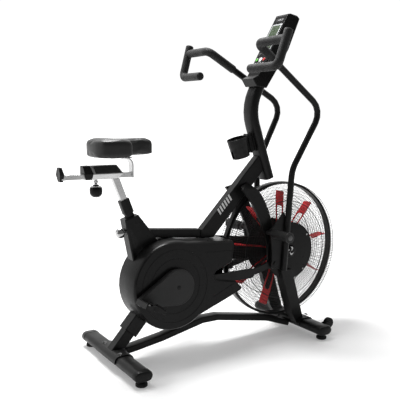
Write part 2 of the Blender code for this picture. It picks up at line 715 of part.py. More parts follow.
y = HOUSING_RIGHT
shell = shell_levels(RIGHT_SHELL, ((0.0, -GAP), (0.0, y + 0.014), (0.003, y + 0.005), (0.008, y)))
shell = cut(
    shell,
    shell_levels(RIGHT_SHELL, ((WALL, 0.01), (WALL, y + 0.015), (0.011, y + WALL))),
    rod_passage(-0.12, 0.08, -0.1045, -0.0855),
    around_fan(),
    leg_space(),
    seat_space(),
    rod(CRANK, 0.013, -0.12, -0.09, 24),
)
grooves = [face_groove(0.162), face_groove(0.122)]
grooves += [line_groove((-0.109, 0.472), (0.040, 0.467)), line_groove((-0.066, 0.262), (0.049, 0.310))]
node("housing_right", cut(shell, *grooves), "shell_black")

y = HOUSING_LEFT
shell = shell_levels(LEFT_SHELL, ((0.0, GAP), (0.0, y - 0.008), (0.005, y)))
shell = joined(shell, stepped(CRANK, [(0.124, y - 0.001), (0.120, 0.104), (0.116, 0.108)], 32))
shell = cut(
    shell,
    shell_levels(LEFT_SHELL, ((WALL, -0.01), (WALL, y - 0.008), (0.007, y - WALL))),
    stepped(CRANK, [(0.120, 0.045), (0.116, 0.105)], 32),
    rod_passage(-0.20, -0.06, 0.0855, 0.1045),
    around_fan(),
    leg_space(),
    seat_space(),
    guard_space(0.0006),
    rod(CRANK, 0.013, 0.09, 0.12, 24),
)
node("housing_left", shell, "shell_black")


# ---- cranks and pedals --------------------------------------------------------------------
def crank_tip(angle):
    return (CRANK[0] + CRANK_LENGTH * cos(angle), CRANK[1] + CRANK_LENGTH * sin(angle))


def crank(angle):
    """The right crank inside its tear-drop cover."""
    tip = crank_tip(angle)
    cover = chamfered(hull(CRANK, 0.080, tip, 0.025, 14), -0.1115, -0.140, 0.004)
    return cut(cover, rod(CRANK, 0.0078, -0.15, -0.10, 16), rod(tip, 0.0063, -0.15, -0.10, 16))


def pedal(angle):
    """The right pedal: an open platform on its spindle, level whatever the crank's angle."""
    tip = crank_tip(angle)
    platform = chamfered(rounded_box(PEDAL[0], PEDAL[1], 0.008, 3), -0.152, -0.250, 0.003)
    windows = []
    for x in (-0.031, 0.031):
        corners = [(x - 0.013, -0.234), (x + 0.013, -0.234), (x + 0.013, -0.168), (x - 0.013, -0.168)]
        windows.append(rings([[(a, b, z) for a, b in corners] for z in (-0.03, 0.03)]))
    platform = cut(platform, *windows)
    platform.transform(Matrix.Translation((tip[0], 0.0, tip[1])) @ Matrix.Rotation(radians(14), 4, "Y"))
    return joined(platform, rod(tip, 0.006, -0.114, -0.160, 16))


for side, label in SIDES:
    angle = CRANK_ANGLE if side < 0 else CRANK_ANGLE - pi
    tip = crank_tip(angle)
    arm_piece = crank(angle) if side < 0 else mirrored(crank(angle))
    step = pedal(angle) if side < 0 else mirrored(pedal(angle))
    node("crank_" + label, arm_piece, "cap_black", (CRANK[0], side * 0.126, CRANK[1]))
    node("pedal_" + label, step, "cap_black", (tip[0], side * 0.200, tip[1]))

# ---- swinging arms, their grips and the rods that drive them ------------------------------
ARM = [(0.342, -ARM_Y, 0.339), (0.360, -ARM_Y, 0.826), (0.525, -ARM_Y, 1.116)]
ARM += [(0.106, -ARM_BEND_Y, 1.388), (0.111, -GRIP_Y, 1.390)]
HANDLE = [(0.121, -GRIP_Y, 1.430), (0.072, -GRIP_Y, 1.274), (0.062, -0.148, 1.272)]
LEVER = [(0.336, 0.619), (0.281, 0.562), (0.254, 0.540), (0.258, 0.501), (0.265, 0.442), (0.266, 0.403)]
LEVER += arc(ROD_PIN, 0.026, radians(150), radians(300), 8)
LEVER += [(0.325, 0.337), (0.336, 0.410), (0.343, 0.483), (0.350, 0.560)]


def tube_along(path, radius, steps=10):
    return swept(path, circle((0.0, 0.0), radius, steps))


def shortened(path, amount):
    """A path with both its ends cut back."""
    first = path[0] + (path[1] - path[0]).normalized() * amount
    last = path[-1] + (path[-2] - path[-1]).normalized() * amount
    return [first, *path[1:-1], last]


def arm_path():
    return rounded_path(ARM, [0.15, 0.077, 0.032], 4)


def handle_path():
    return rounded_path(HANDLE, [0.028], 4)


def foam_path():
    """The part of the arm that its foam covers."""
    bend = Vector(ARM[2])
    way = Vector(ARM[3]) - bend
    start = bend + way * ((FOAM_START - bend.x) / way.x)
    return [start, *[p for p in arm_path() if p.x < FOAM_START - 0.001]]


def arm():
    """The right arm's tube and its handle, swung to where they rest."""
    handle = tube_along(shortened(handle_path(), 0.008), ARM_R)
    return swung(joined(tube_along(arm_path(), ARM_R), handle), SWING)


def lever():
    """The arm's lower plate, from its pivot to the rod's pin."""
    pin = [(0.012, -0.1185), (0.012, -0.110), (0.0065, -0.110), (0.0065, -0.088)]
    plate = joined(prism(LEVER, -0.1145, -0.1045), stepped(ROD_PIN, pin, 16))
    return cut(plate, rod(PIVOT, 0.0103, -0.13, -0.09, 20))


def grip():
    """The foam over the right handle, with the room for the tubes inside it."""
    foam = joined(tube_along(foam_path(), GRIP_R), tube_along(handle_path(), GRIP_R))
    handle = tube_along(shortened(handle_path(), 0.0077), ARM_R + GAP)
    return swung(cut(foam, tube_along(shortened(arm_path(), -0.001), ARM_R + GAP), handle), SWING)


def pushrod():
    """The flat bar between the crank's eccentric and the lever's pin."""
    end = (-0.185, 0.338)
    bar = [(end[0], 0.316), (0.160, 0.318), (0.170, 0.326), (0.170, 0.357), (0.160, 0.362), (end[0], 0.360)]
    neck = prism(bar_outline((0.150, 0.340), ROD_PIN, 0.030), -0.1005, -0.0905)
    eye = rod(ROD_PIN, 0.019, -0.1015, -0.0895, 24)
    body = joined(prism(bar, -0.101, -0.090), rod(end, 0.022, -0.101, -0.090, 24), neck, eye)
    return cut(body, rod(ROD_PIN, 0.0068, -0.12, -0.08, 16), rod(end, 0.009, -0.12, -0.08, 16))


def foot_peg():
    profile = [(0.010, -0.0783), (0.010, -0.1150), (0.016, -0.1150), (0.016, -0.136), (0.022, -0.138)]
    profile += [(0.022, -0.238), (0.0245, -0.239), (0.0245, -0.247), (0.022, -0.249)]
    return stepped(PIVOT, profile, 16)


for side, label in SIDES:
    body = joined(arm(), lever())
    foam = grip()
    link = pushrod()
    peg = foot_peg()
    pin = Vector((ROD_PIN[0], 0.0, ROD_PIN[1]))
    if side > 0:
        centre = Vector((PIVOT[0], 0.0, PIVOT[1]))
        moved = centre + Matrix.Rotation(-2 * SWING, 3, "Y") @ (pin - centre)
        link.transform(Matrix.Translation(moved - pin))
        pin = moved
        body = mirrored(swung(body, -2 * SWING))
        foam = mirrored(swung(foam, -2 * SWING))
        link = mirrored(link)
        peg = mirrored(peg)
    node("arm_" + label, body, "frame_black", (PIVOT[0], side * ARM_Y, PIVOT[1]))
    node("grip_" + label, foam, "foam_grey")
    node("pushrod_" + label, link, "frame_black", (pin.x, side * 0.0955, pin.z))
    node("foot_peg_" + label, peg, "cap_black")


# ---- the seat -----------------------------------------------------------------------------
def block(x0, x1, half, z0, z1):
    return prism([(x0, z0), (x1, z0), (x1, z1), (x0, z1)], -half, half)


foot_of_post = along(POST_BASE, SEAT_WAY, -0.20)
half = POST[0] / 2
reach = half / cos(POST_LEAN)
top_x = POST_BASE[0] - (POST_TOP - POST_BASE[1]) * tan(POST_LEAN)
post = [along(foot_of_post, PIN_WAY, half), along(foot_of_post, PIN_WAY, -half)]
post += [(top_x + reach, POST_TOP), (top_x - reach, POST_TOP)]
post = chamfered(post, -POST[1] / 2, POST[1] / 2, 0.0015)
node("seat_post", post, "silver", (POST_BASE[0], 0.0, POST_BASE[1]))

plate_line = [(-0.589, 0.840), (-0.455, 0.840), (-0.460, 0.850), (-0.473, 0.869), (-0.589, 0.869)]
clamp_line = [(-0.632, 0.8145), (-0.596, 0.8145), (-0.590, 0.845), (-0.607, 0.872), (-0.632, 0.872)]
guide = joined(
    block(-0.600, -0.455, 0.0230, 0.8145, 0.8410),
    chamfered(plate_line, -0.0235, 0.0235, 0.0015),
    chamfered(clamp_line, -0.026, 0.026, 0.002),
)
slot = block(-0.70, -0.40, SLIDER_HALF + GAP, SLIDER[0] - GAP, SLIDER[1] + GAP)
guide = cut(guide, slot, upright((KNOB[0], 0.0), [(0.0053, 0.80), (0.0053, 0.82)], 16))
node("seat_guide", guide, "silver")

knob = [(0.012, 0.7385), (0.021, 0.743), (0.0255, 0.752), (0.0265, 0.762), (0.0265, 0.774), (0.023, 0.783)]
knob += [(0.017, 0.788), (0.010, 0.790), (0.010, 0.808), (0.005, 0.808), (0.005, 0.8165)]
node("ball_knob", upright((KNOB[0], 0.0), knob, 16), "cap_black", (KNOB[0], 0.0, KNOB[1]))

cap_line = [(-0.727, 0.815), (-0.712, 0.815), (-0.712, 0.845)]
cap_line += [(-0.722, 0.867), (-0.730, 0.867), (-0.736, 0.844)]
slider = joined(block(-0.722, -0.420, SLIDER_HALF, *SLIDER), chamfered(cap_line, -0.021, 0.021, 0.002))
node("slider_tube", slider, "silver")

neck_line = [(-0.4197, 0.8145), (-0.4050, 0.8145), (-0.4050, 0.9030), (-0.4197, 0.9030)]
neck = joined(chamfered(neck_line, -0.019, 0.019, 0.001), block(-0.520, -0.345, 0.040, 0.8985, 0.9032))
node("saddle_neck", neck, "cap_black")

SADDLE = [(-0.600, 0.060), (-0.598, 0.088), (-0.590, 0.105), (-0.574, 0.115), (-0.478, 0.115)]
SADDLE += [(-0.461, 0.109), (-0.451, 0.088), (-0.443, 0.064), (-0.425, 0.050), (-0.350, 0.043)]
SADDLE += [(-0.332, 0.034), (-0.325, 0.018)]


def saddle_loop(inset, z):
    plan = [(x, -y) for x, y in SADDLE] + [(x, y) for x, y in reversed(SADDLE)]
    return [(x, y, z) for x, y in offset(plan, inset)]


cushion = [(0.010, 0.9036), (0.002, 0.912), (0.0, 0.922), (0.0, 0.960), (0.005, 0.973), (0.014, 0.980)]
node("saddle", rings([saddle_loop(inset, z) for inset, z in cushion]), "vinyl_black")

pin = [(0.005, 0.0155), (0.005, 0.040), (0.008, 0.040), (0.008, 0.048), (0.016, 0.049), (0.021, 0.054)]
pin += [(0.0225, 0.064), (0.020, 0.075), (0.013, 0.083), (0.006, 0.085)]
node("pop_pin", seat_pin(pin, 16), "chrome", (PIN_BASE[0], 0.0, PIN_BASE[1]))

# ---- the console and the bottle holder ----------------------------------------------------
FACE_UP = Vector((sin(FACE_TILT), 0.0, cos(FACE_TILT)))
FACE_OUT = Vector((-cos(FACE_TILT), 0.0, sin(FACE_TILT)))


def on_face(mesh):
    """From the face's own axes (up it, to the left, towards the rider) to the frame's."""
    turn = Matrix((FACE_UP, Vector((0.0, 1.0, 0.0)), FACE_OUT)).transposed().to_4x4()
    mesh.transform(Matrix.Translation((FACE[0], 0.0, FACE[1])) @ turn)
    return mesh


def face_box(w0, w1, grow=0.0):
    half = SCREEN[2] + grow
    corners = [(SCREEN[0] - grow, -half), (SCREEN[1] + grow, -half)]
    corners += [(SCREEN[1] + grow, half), (SCREEN[0] - grow, half)]
    return on_face(rings([[(u, y, w) for u, y in corners] for w in (w0, w1)]))


def face_hole(y, radius, depth):
    return on_face(upright((BUTTON_U, y), [(radius + 0.0004, -depth), (radius + 0.0004, 0.01)], 20))


console = [(0.215, 1.212), (0.273, 1.2055), (0.400, 1.387), (0.466, 1.536), (0.452, 1.549), (0.410, 1.557)]
console += [(0.396, 1.5546), (0.225, 1.262), (0.191, 1.247)]
body = cut(
    chamfered(console, -0.0475, 0.0475, 0.003),
    mast(GAP, 1.219),
    face_box(-SCREEN_PLATE - GAP, 0.02, GAP),
    *[face_hole(y, radius, 0.0085) for _, y, radius in BUTTONS],
)
node("console_housing", body, "shell_black")
screen = cut(face_box(-SCREEN_PLATE, 0.0), *[face_hole(y, radius, 0.01) for _, y, radius in BUTTONS])
node("console_screen", screen, "screen_black")
for name, y, radius in BUTTONS:
    cap = [(radius, -0.0060), (radius, 0.0020), (radius - 0.0015, 0.0030)]
    where = Vector((FACE[0], y, FACE[1])) + FACE_UP * BUTTON_U
    node(name, on_face(upright((BUTTON_U, y), cap, 20)), name, where)


def in_cup_frame(mesh):
    """From a cup standing on the origin to its place behind the mast."""
    foot_x = CUP_TOP[0] - sin(CUP_TILT) * CUP_HEIGHT
    foot_z = CUP_TOP[1] - cos(CUP_TILT) * CUP_HEIGHT
    mesh.transform(Matrix.Translation((foot_x, 0.0, foot_z)) @ Matrix.Rotation(CUP_TILT, 4, "Y"))
    return mesh


cup = in_cup_frame(upright((0.0, 0.0), [(0.036, 0.0), (0.038, 0.003), (0.046, CUP_HEIGHT)], 32))
inner = in_cup_frame(upright((0.0, 0.0), [(0.0355, 0.003), (0.0435, CUP_HEIGHT + 0.002)], 32))
support = in_cup_frame(block(0.036, 0.105, 0.012, 0.022, 0.052))
holder = cut(joined(cup, support), inner, in_cup_frame(block(-0.08, 0.0, 0.0125, 0.022, 0.12)), mast(GAP))
node("bottle_holder", holder, "cap_black")
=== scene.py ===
"""An air bike's looks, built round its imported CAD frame."""
from math import atan2, cos, pi, radians, sin, sqrt

import bmesh
import bpy
import numpy as np
from mathutils import Matrix, Vector
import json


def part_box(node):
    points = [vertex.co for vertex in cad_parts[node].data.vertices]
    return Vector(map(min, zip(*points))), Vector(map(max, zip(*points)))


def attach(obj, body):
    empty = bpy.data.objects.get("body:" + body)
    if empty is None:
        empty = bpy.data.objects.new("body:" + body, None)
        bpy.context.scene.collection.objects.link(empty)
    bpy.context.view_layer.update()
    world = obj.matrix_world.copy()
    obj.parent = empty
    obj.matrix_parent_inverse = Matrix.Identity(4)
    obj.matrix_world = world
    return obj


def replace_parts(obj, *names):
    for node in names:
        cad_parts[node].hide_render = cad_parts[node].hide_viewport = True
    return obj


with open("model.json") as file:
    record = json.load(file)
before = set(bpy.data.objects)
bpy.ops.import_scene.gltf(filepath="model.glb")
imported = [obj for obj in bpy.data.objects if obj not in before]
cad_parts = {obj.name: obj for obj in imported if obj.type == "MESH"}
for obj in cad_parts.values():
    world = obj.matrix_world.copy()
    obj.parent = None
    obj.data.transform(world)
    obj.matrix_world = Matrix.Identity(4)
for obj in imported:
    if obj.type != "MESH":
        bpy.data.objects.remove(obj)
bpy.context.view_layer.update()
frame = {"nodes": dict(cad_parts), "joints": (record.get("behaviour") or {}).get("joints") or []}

# ---- places on the frame, in metres ----
JOINTS = {joint["name"]: joint for joint in frame["joints"]}


def middle(node):
    """The middle of a CAD node's box."""
    low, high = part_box(node)
    return (low + high) / 2


FAN = middle("fan_hoop")
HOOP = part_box("fan_hoop")
HOOP_R = (HOOP[1].z - HOOP[0].z) / 2
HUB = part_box("hub_cover_right")
HUB_R = (HUB[1].z - HUB[0].z) / 2
HUB_Y = -HUB[0].y  # the hub covers' outer faces, from the middle plane
CAGE_Y = -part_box("cage_right")[0].y  # the guards' middles, from the middle plane
CRANK = Vector(JOINTS["crank_spin"]["pos_m"])
PIVOT = Vector(JOINTS["arm_right_swing"]["pos_m"])
PIVOT_XZ = Vector((PIVOT.x, 0.0, PIVOT.z))

FACE = Vector((0.216, 0.0, 1.2465))  # the bottom of the console's face
FACE_TILT = atan2(0.504, 0.863)  # from upright
FACE_UP = Vector((sin(FACE_TILT), 0.0, cos(FACE_TILT)))
FACE_OUT = Vector((-cos(FACE_TILT), 0.0, sin(FACE_TILT)))

SWING = radians(2.6)  # the arms' swing at rest, one way and the other
GRIP_R = 0.0195
FOAM_START = 0.245  # where the foam begins on the arm, along X
# the right arm's upper bend and hand grip, and the handle across it, before they swing
ARM = ((0.525, -0.1205, 1.116), (0.106, -0.142, 1.388), (0.111, -0.335, 1.390))
HANDLE = ((0.1215, -0.335, 1.430), (0.072, -0.335, 1.274), (0.062, -0.148, 1.272))
SIDES = ((-1, "right"), (1, "left"))


# ---- materials ----
MIX_A = 6  # a Mix node's colour sockets
MIX_B = 7
MIX_RESULT = 2


def set_range(node, low, high, start, end):
    """Makes a Map Range node carry start to end on to low to high."""
    for key, value in (("From Min", start), ("From Max", end), ("To Min", low), ("To Max", high)):
        node.inputs[key].default_value = value


class Finish:
    """A procedural material whose nodes are added one at a time."""

    def __init__(self, name, metallic=0.0, specular=0.5, coat=0.0, sheen=0.0):
        self.material = bpy.data.materials.new(name)
        self.material.use_nodes = True
        self.tree = self.material.node_tree
        self.shader = self.tree.nodes["Principled BSDF"]
        self.place = self.add("ShaderNodeTexCoord").outputs["Object"]
        self.shader.inputs["Metallic"].default_value = metallic
        self.shader.inputs["Specular IOR Level"].default_value = specular
        self.shader.inputs["Coat Weight"].default_value = coat
        self.shader.inputs["Coat Roughness"].default_value = 0.2
        self.shader.inputs["Sheen Weight"].default_value = sheen
        self.normal = None

    def add(self, kind, **settings):
        made = self.tree.nodes.new(kind)
        for key, value in settings.items():
            setattr(made, key, value)
        return made

    def link(self, source, target):
        self.tree.links.new(source, target)

    def stretched(self, scale):
        """The place with its axes scaled, for grain that runs one way."""
        mapping = self.add("ShaderNodeMapping")
        mapping.inputs["Scale"].default_value = scale
        self.link(self.place, mapping.inputs["Vector"])
        return mapping.outputs["Vector"]

    def noise(self, scale, detail=3.0, place=None):
        made = self.add("ShaderNodeTexNoise")
        made.inputs["Scale"].default_value = scale
        made.inputs["Detail"].default_value = detail
        self.link(place or self.place, made.inputs["Vector"])
        return made.outputs["Fac"]

    def cells(self, scale):
        made = self.add("ShaderNodeTexVoronoi")
        made.inputs["Scale"].default_value = scale
        self.link(self.place, made.inputs["Vector"])
        return made.outputs["Distance"]

    def spread(self, value, low, high, start=0.3, end=0.7):
        """A value's range start to end, carried to low to high."""
        made = self.add("ShaderNodeMapRange")
        set_range(made, low, high, start, end)
        self.link(value, made.inputs["Value"])
        return made.outputs["Result"]

    def times(self, a, b):
        made = self.add("ShaderNodeMath", operation="MULTIPLY")
        self.link(a, made.inputs[0])
        self.link(b, made.inputs[1])
        return made.outputs["Value"]

    def mix(self, factor, a, b):
        """Two colours mixed; each is a colour or another node's output."""
        made = self.add("ShaderNodeMix", data_type="RGBA")
        self.link(factor, made.inputs["Factor"])
        for key, colour in ((MIX_A, a), (MIX_B, b)):
            if isinstance(colour, tuple):
                made.inputs[key].default_value = (*colour, 1.0)
            else:
                self.link(colour, made.inputs[key])
        return made.outputs[MIX_RESULT]

    def bump(self, height, distance, strength=1.0):
        made = self.add("ShaderNodeBump")
        made.inputs["Strength"].default_value = strength
        made.inputs["Distance"].default_value = distance
        self.link(height, made.inputs["Height"])
        if self.normal is not None:
            self.link(self.normal, made.inputs["Normal"])
        self.normal = made.outputs["Normal"]

    def worn(self, colour, edge):
        """Edges rubbed towards a lighter colour."""
        shape = self.add("ShaderNodeNewGeometry")
        rubbed = self.spread(shape.outputs["Pointiness"], 0.0, 0.5, 0.53, 0.60)
        patchy = self.spread(self.noise(60.0), 0.2, 1.0)
        return self.mix(self.times(rubbed, patchy), colour, edge)

    def dusty(self, colour, dust, amount):
        """Faint dust that lies on what faces up."""
        shape = self.add("ShaderNodeNewGeometry")
        parts = self.add("ShaderNodeSeparateXYZ")
        self.link(shape.outputs["Normal"], parts.inputs["Vector"])
        up = self.spread(parts.outputs["Z"], 0.0, amount, 0.5, 1.0)
        patchy = self.spread(self.noise(14.0, 5.0), 0.3, 1.0)
        return self.mix(self.times(up, patchy), colour, dust)

    def done(self, colour, roughness):
        self.link(colour, self.shader.inputs["Base Color"])
        self.link(roughness, self.shader.inputs["Roughness"])
        if self.normal is not None:
            self.link(self.normal, self.shader.inputs["Normal"])
        return self.material


def grey(value, warmth=0.0):
    """A grey, a little warmer or colder."""
    return (value * (1.0 + warmth), value, value * (1.0 - warmth))


PEEL_DEPTH = 0.00006
RUBBED = grey(0.03)
DUST = grey(0.13, 0.03)


def coated(name, dark, light, rough, grain=1100.0, specular=0.14, coat=0.0):
    """Powder-coated steel or textured plastic: a fine orange peel with its raised points painted
    lighter as highlight, patches, worn edges and dust.
    """
    f = Finish(name, specular=specular, coat=coat)
    peel = f.noise(grain, 2.0)
    f.bump(peel, PEEL_DEPTH)
    f.bump(f.noise(90.0, 3.0), PEEL_DEPTH * 2.0, 0.5)
    colour = f.mix(f.spread(f.noise(7.0, 5.0), 0.0, 1.0), dark, light)
    # painted highlight: the orange peel's raised points are painted lighter
    colour = f.mix(f.spread(peel, 0.0, 0.25, 0.45, 0.75), colour, light)
    colour = f.dusty(f.worn(colour, RUBBED), DUST, 0.07)
    return f.done(colour, f.spread(f.noise(26.0, 4.0), rough[0], rough[1]))


def foam():
    """Closed-cell foam: small pits painted darker in their bottoms as shade, and a soft uneven skin."""
    f = Finish("grip_foam", specular=0.22, sheen=0.05)
    pits = f.cells(620.0)
    f.bump(pits, 0.0003, 0.8)
    f.bump(f.noise(70.0, 4.0), 0.0005, 0.5)
    colour = f.mix(f.spread(f.noise(18.0, 4.0), 0.0, 1.0), grey(0.0100), grey(0.0160))
    # painted shade: the bottoms of the pits are painted darker
    colour = f.mix(f.spread(pits, 0.5, 0.0, 0.05, 0.35), colour, grey(0.0060))
    return f.done(colour, f.spread(f.noise(40.0), 0.55, 0.75))


def vinyl():
    """Upholstery vinyl: pebbled grain with painted shade in its hollows, faint stretch creases, a dull
    shine.
    """
    f = Finish("saddle_vinyl", specular=0.40)
    pebbles = f.cells(520.0)
    f.bump(pebbles, 0.00010, 0.6)
    f.bump(f.noise(36.0, 3.0, f.stretched((1.0, 3.2, 1.0))), 0.0004, 0.35)
    colour = f.mix(f.spread(f.noise(9.0, 4.0), 0.0, 1.0), grey(0.0085), grey(0.0135))
    # painted shade: the hollows of the pebbled grain are painted darker
    colour = f.mix(f.spread(pebbles, 0.6, 0.0, 0.05, 0.45), colour, grey(0.0065))
    return f.done(f.dusty(colour, grey(0.25), 0.04), f.spread(f.noise(24.0, 4.0), 0.36, 0.48))


def brushed(name, dark, light, along, rough, metallic):
    """Plated or brushed metal, its grain along one axis."""
    f = Finish(name, metallic=metallic)
    lines = f.noise(900.0, 2.0, f.stretched(along))
    f.bump(lines, 0.00003, 0.7)
    colour = f.mix(f.spread(f.noise(11.0, 4.0), 0.0, 1.0), grey(dark), grey(light))
    colour = f.mix(f.spread(lines, 0.0, 0.30), colour, grey(dark * 0.8))
    return f.done(colour, f.spread(f.noise(60.0, 4.0), rough[0], rough[1]))


def enamel(name, dark, light, rough=(0.32, 0.46), specular=0.3):
    """Smooth paint with a soft mottle and small scratches."""
    f = Finish(name, specular=specular)
    scratches = f.noise(420.0, 2.0, f.stretched((1.0, 0.15, 0.4)))
    f.bump(scratches, 0.00003, 0.6)
    colour = f.mix(f.spread(f.noise(12.0, 4.0), 0.0, 1.0), dark, light)
    return f.done(colour, f.spread(scratches, rough[0], rough[1]))


def rubber(name, ribs=0.0):
    """Moulded rubber; ribs is the number of bands in a metre."""
    f = Finish(name, specular=0.22)
    f.bump(f.noise(1500.0, 2.0), 0.00012, 0.8)
    if ribs:
        wave = f.add("ShaderNodeTexWave", bands_direction="X")
        wave.inputs["Scale"].default_value = ribs / 20.0
        f.link(f.place, wave.inputs["Vector"])
        f.bump(wave.outputs["Fac"], 0.0006, 0.6)
    colour = f.mix(f.spread(f.noise(20.0, 4.0), 0.0, 1.0), grey(0.006), grey(0.012))
    return f.done(f.dusty(colour, grey(0.15), 0.10), f.spread(f.noise(50.0), 0.62, 0.86))


def gloss(name, dark, light, rough=(0.08, 0.16), coat=0.15, specular=0.3):
    """A glossy moulding with faint finger marks."""
    f = Finish(name, coat=coat, specular=specular)
    f.bump(f.noise(35.0, 2.0), 0.00008, 0.4)
    colour = f.mix(f.spread(f.noise(16.0, 4.0), 0.0, 1.0), dark, light)
    return f.done(colour, f.spread(f.noise(45.0, 5.0), rough[0], rough[1], 0.4, 0.7))


def display():
    """A liquid crystal's glass: a green field with a soft, uneven backlight."""
    f = Finish("display_green", specular=0.05)
    f.bump(f.noise(700.0, 2.0), 0.00002, 0.5)
    dim = (0.022, 0.038, 0.016)
    lit = (0.032, 0.052, 0.023)
    colour = f.mix(f.spread(f.noise(40.0, 3.0), 0.0, 1.0), dim, lit)
    return f.done(colour, f.spread(f.noise(60.0), 0.50, 0.60))


METAL = coated("frame_powder", grey(0.0042), grey(0.0066), (0.30, 0.42), specular=0.16)
SHELL = coated("shell_plastic", grey(0.0048), grey(0.0068), (0.26, 0.36), 1500.0, 0.08, 0.10)
CAP = coated("moulded_cap", grey(0.0040), grey(0.0066), (0.34, 0.46), 1300.0)
COVER = coated("crank_cover", grey(0.0160), grey(0.0200), (0.38, 0.50), 1500.0, 0.20)
BOLT = brushed("zinc_bolt", 0.42, 0.62, (1.0, 1.0, 1.0), (0.28, 0.45), 0.85)
DARK_BOLT = brushed("black_bolt", 0.07, 0.11, (1.0, 1.0, 1.0), (0.30, 0.45), 0.7)
PALE = enamel("pale_print", grey(0.62), grey(0.72))
KEY = enamel("grey_key", grey(0.22, -0.03), grey(0.28, -0.03))
FOAM = foam()
VINYL = vinyl()
SILVER = brushed("satin_silver", 0.52, 0.62, (1.0, 1.0, 0.04), (0.26, 0.38), 0.95)
CHROME = brushed("bright_chrome", 0.42, 0.52, (0.3, 0.3, 0.3), (0.10, 0.18), 1.0)
WIRE_PAINT = enamel("guard_wire", grey(0.012), grey(0.020), (0.40, 0.55), 0.20)
BLADE = enamel("blade_enamel", (0.62, 0.012, 0.018), (0.76, 0.020, 0.028), (0.36, 0.50), 0.25)
RUBBER = rubber("foot_rubber")
BELT = rubber("belt_rubber", ribs=250.0)
SCREEN = gloss("console_gloss", grey(0.0015), grey(0.0030), coat=0.0, specular=0.10)
GREEN = gloss("key_green", (0.06, 0.30, 0.02), (0.09, 0.38, 0.04), (0.2, 0.3))
WHITE = gloss("key_white", grey(0.56), grey(0.66), (0.2, 0.3))
RED = gloss("key_red", (0.34, 0.008, 0.008), (0.44, 0.016, 0.016), (0.2, 0.3))
FINISHES = {
    "frame_black": METAL,
    "shell_black": SHELL,
    "cap_black": CAP,
    "foam_grey": FOAM,
    "vinyl_black": VINYL,
    "silver": SILVER,
    "chrome": CHROME,
    "wire_grey": WIRE_PAINT,
    "blade_red": BLADE,
    "rubber_black": RUBBER,
    "belt_black": BELT,
    "screen_black": SCREEN,
    "button_green": GREEN,
    "button_white": WHITE,
    "button_red": RED,
}

# ---- the CAD nodes' finishes and edges ----
EDGE = 0.0008  # the rounding of a CAD node's edges
HUB_EDGE = 0.0002  # less where the arms pass close by
ARM_EDGE = 0.0004
OWN_FINISH = {}
OWN_EDGE = {}
SHARP = {"seat_tube": 25, "seat_post": 25, "fan_rotor": 25}  # degrees, where not SHARP_ANGLE
SHARP_ANGLE = 32
for _, label in SIDES:
    OWN_FINISH[f"crank_{label}"] = COVER
    # The foot pegs take the crank cover's lighter grey: a painted highlight standing in for the light
    # along their tops.
    OWN_FINISH[f"foot_peg_{label}"] = COVER
    OWN_EDGE[f"hub_cover_{label}"] = HUB_EDGE
    OWN_EDGE[f"arm_{label}"] = ARM_EDGE
    SHARP[f"arm_{label}"] = 44


def dress(name, node):
    """A CAD node's finish, and modifiers that round its edges and smooth its round faces."""
    for i, old in enumerate(node.data.materials):
        node.data.materials[i] = OWN_FINISH.get(name) or FINISHES[old.name.split(".")[0]]
    weld = node.modifiers.new("weld", "WELD")
    weld.merge_threshold = 0.00002
    bevel = node.modifiers.new("edges", "BEVEL")
    bevel.width = OWN_EDGE.get(name, EDGE)
    bevel.segments = 2
    bevel.limit_method = "ANGLE"
    bevel.angle_limit = radians(SHARP.get(name, SHARP_ANGLE))
    bevel.harden_normals = True
    node.data.polygons.foreach_set("use_smooth", [True] * len(node.data.polygons))
    if "custom_normal" in node.data.attributes:
        node.data.attributes.remove(node.data.attributes["custom_normal"])


for name, node in frame["nodes"].items():
    dress(name, node)


# ---- mesh pieces ----
def turned_out(mesh):
    """Every closed shell's faces made to point outwards."""
    work = bmesh.new()
    work.from_mesh(mesh)
    bmesh.ops.recalc_face_normals(work, faces=work.faces)
    work.to_mesh(mesh)
    work.free()


def piece(name, mesh_parts, material, body, angle=35.0):
    """An object from one or more (points, faces) pairs, riding on a body."""
    points = []
    faces = []
    for more_points, more_faces in mesh_parts:
        first = len(points)
        points += [tuple(p) for p in more_points]
        faces += [tuple(first + i for i in face) for face in more_faces]
    mesh = bpy.data.meshes.new(name)
    mesh.from_pydata(points, [], faces)
    turned_out(mesh)
    mesh.polygons.foreach_set("use_smooth", [True] * len(mesh.polygons))
    mesh.set_sharp_from_angle(angle=radians(angle))
    mesh.materials.append(material)
    item = bpy.data.objects.new(name, mesh)
    bpy.context.scene.collection.objects.link(item)
    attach(item, body)
    return item


def loft(rings, around=False):
    """Faces between rings of points, one ring to the next, and flat ends unless it closes on itself."""
    n = len(rings[0])
    last = len(rings) if around else len(rings) - 1
    faces = []
    for i in range(last):
        a = i * n
        b = ((i + 1) % len(rings)) * n
        faces += [(a + j, b + j, b + (j + 1) % n, a + (j + 1) % n) for j in range(n)]
    if not around:
        end = (len(rings) - 1) * n
        faces.append(tuple(range(n)))
        faces.append(tuple(end + j for j in reversed(range(n))))
    return [p for ring in rings for p in ring], faces


def basis(axis):
    """Two directions square to an axis."""
    axis = Vector(axis).normalized()
    other = Vector((0, 0, 1)) if abs(axis.z) < 0.9 else Vector((1, 0, 0))
    first = other.cross(axis).normalized()
    return first, axis.cross(first)


def direction(path, i):
    """Which way a path runs at one of its points."""
    return (path[min(i + 1, len(path) - 1)] - path[max(i - 1, 0)]).normalized()


def lathe(centre, axis, profile, steps, around=False):
    """A turned piece; the profile is (radius, height along the axis), from its outer end inwards."""
    first, second = basis(axis)
    axis = Vector(axis).normalized()
    centre = Vector(centre)
    turns = [2 * pi * k / steps for k in range(steps)]
    rings = []
    for r, h in profile:
        rings.append([centre + axis * h + (first * cos(t) + second * sin(t)) * r for t in turns])
    return loft(rings, around)


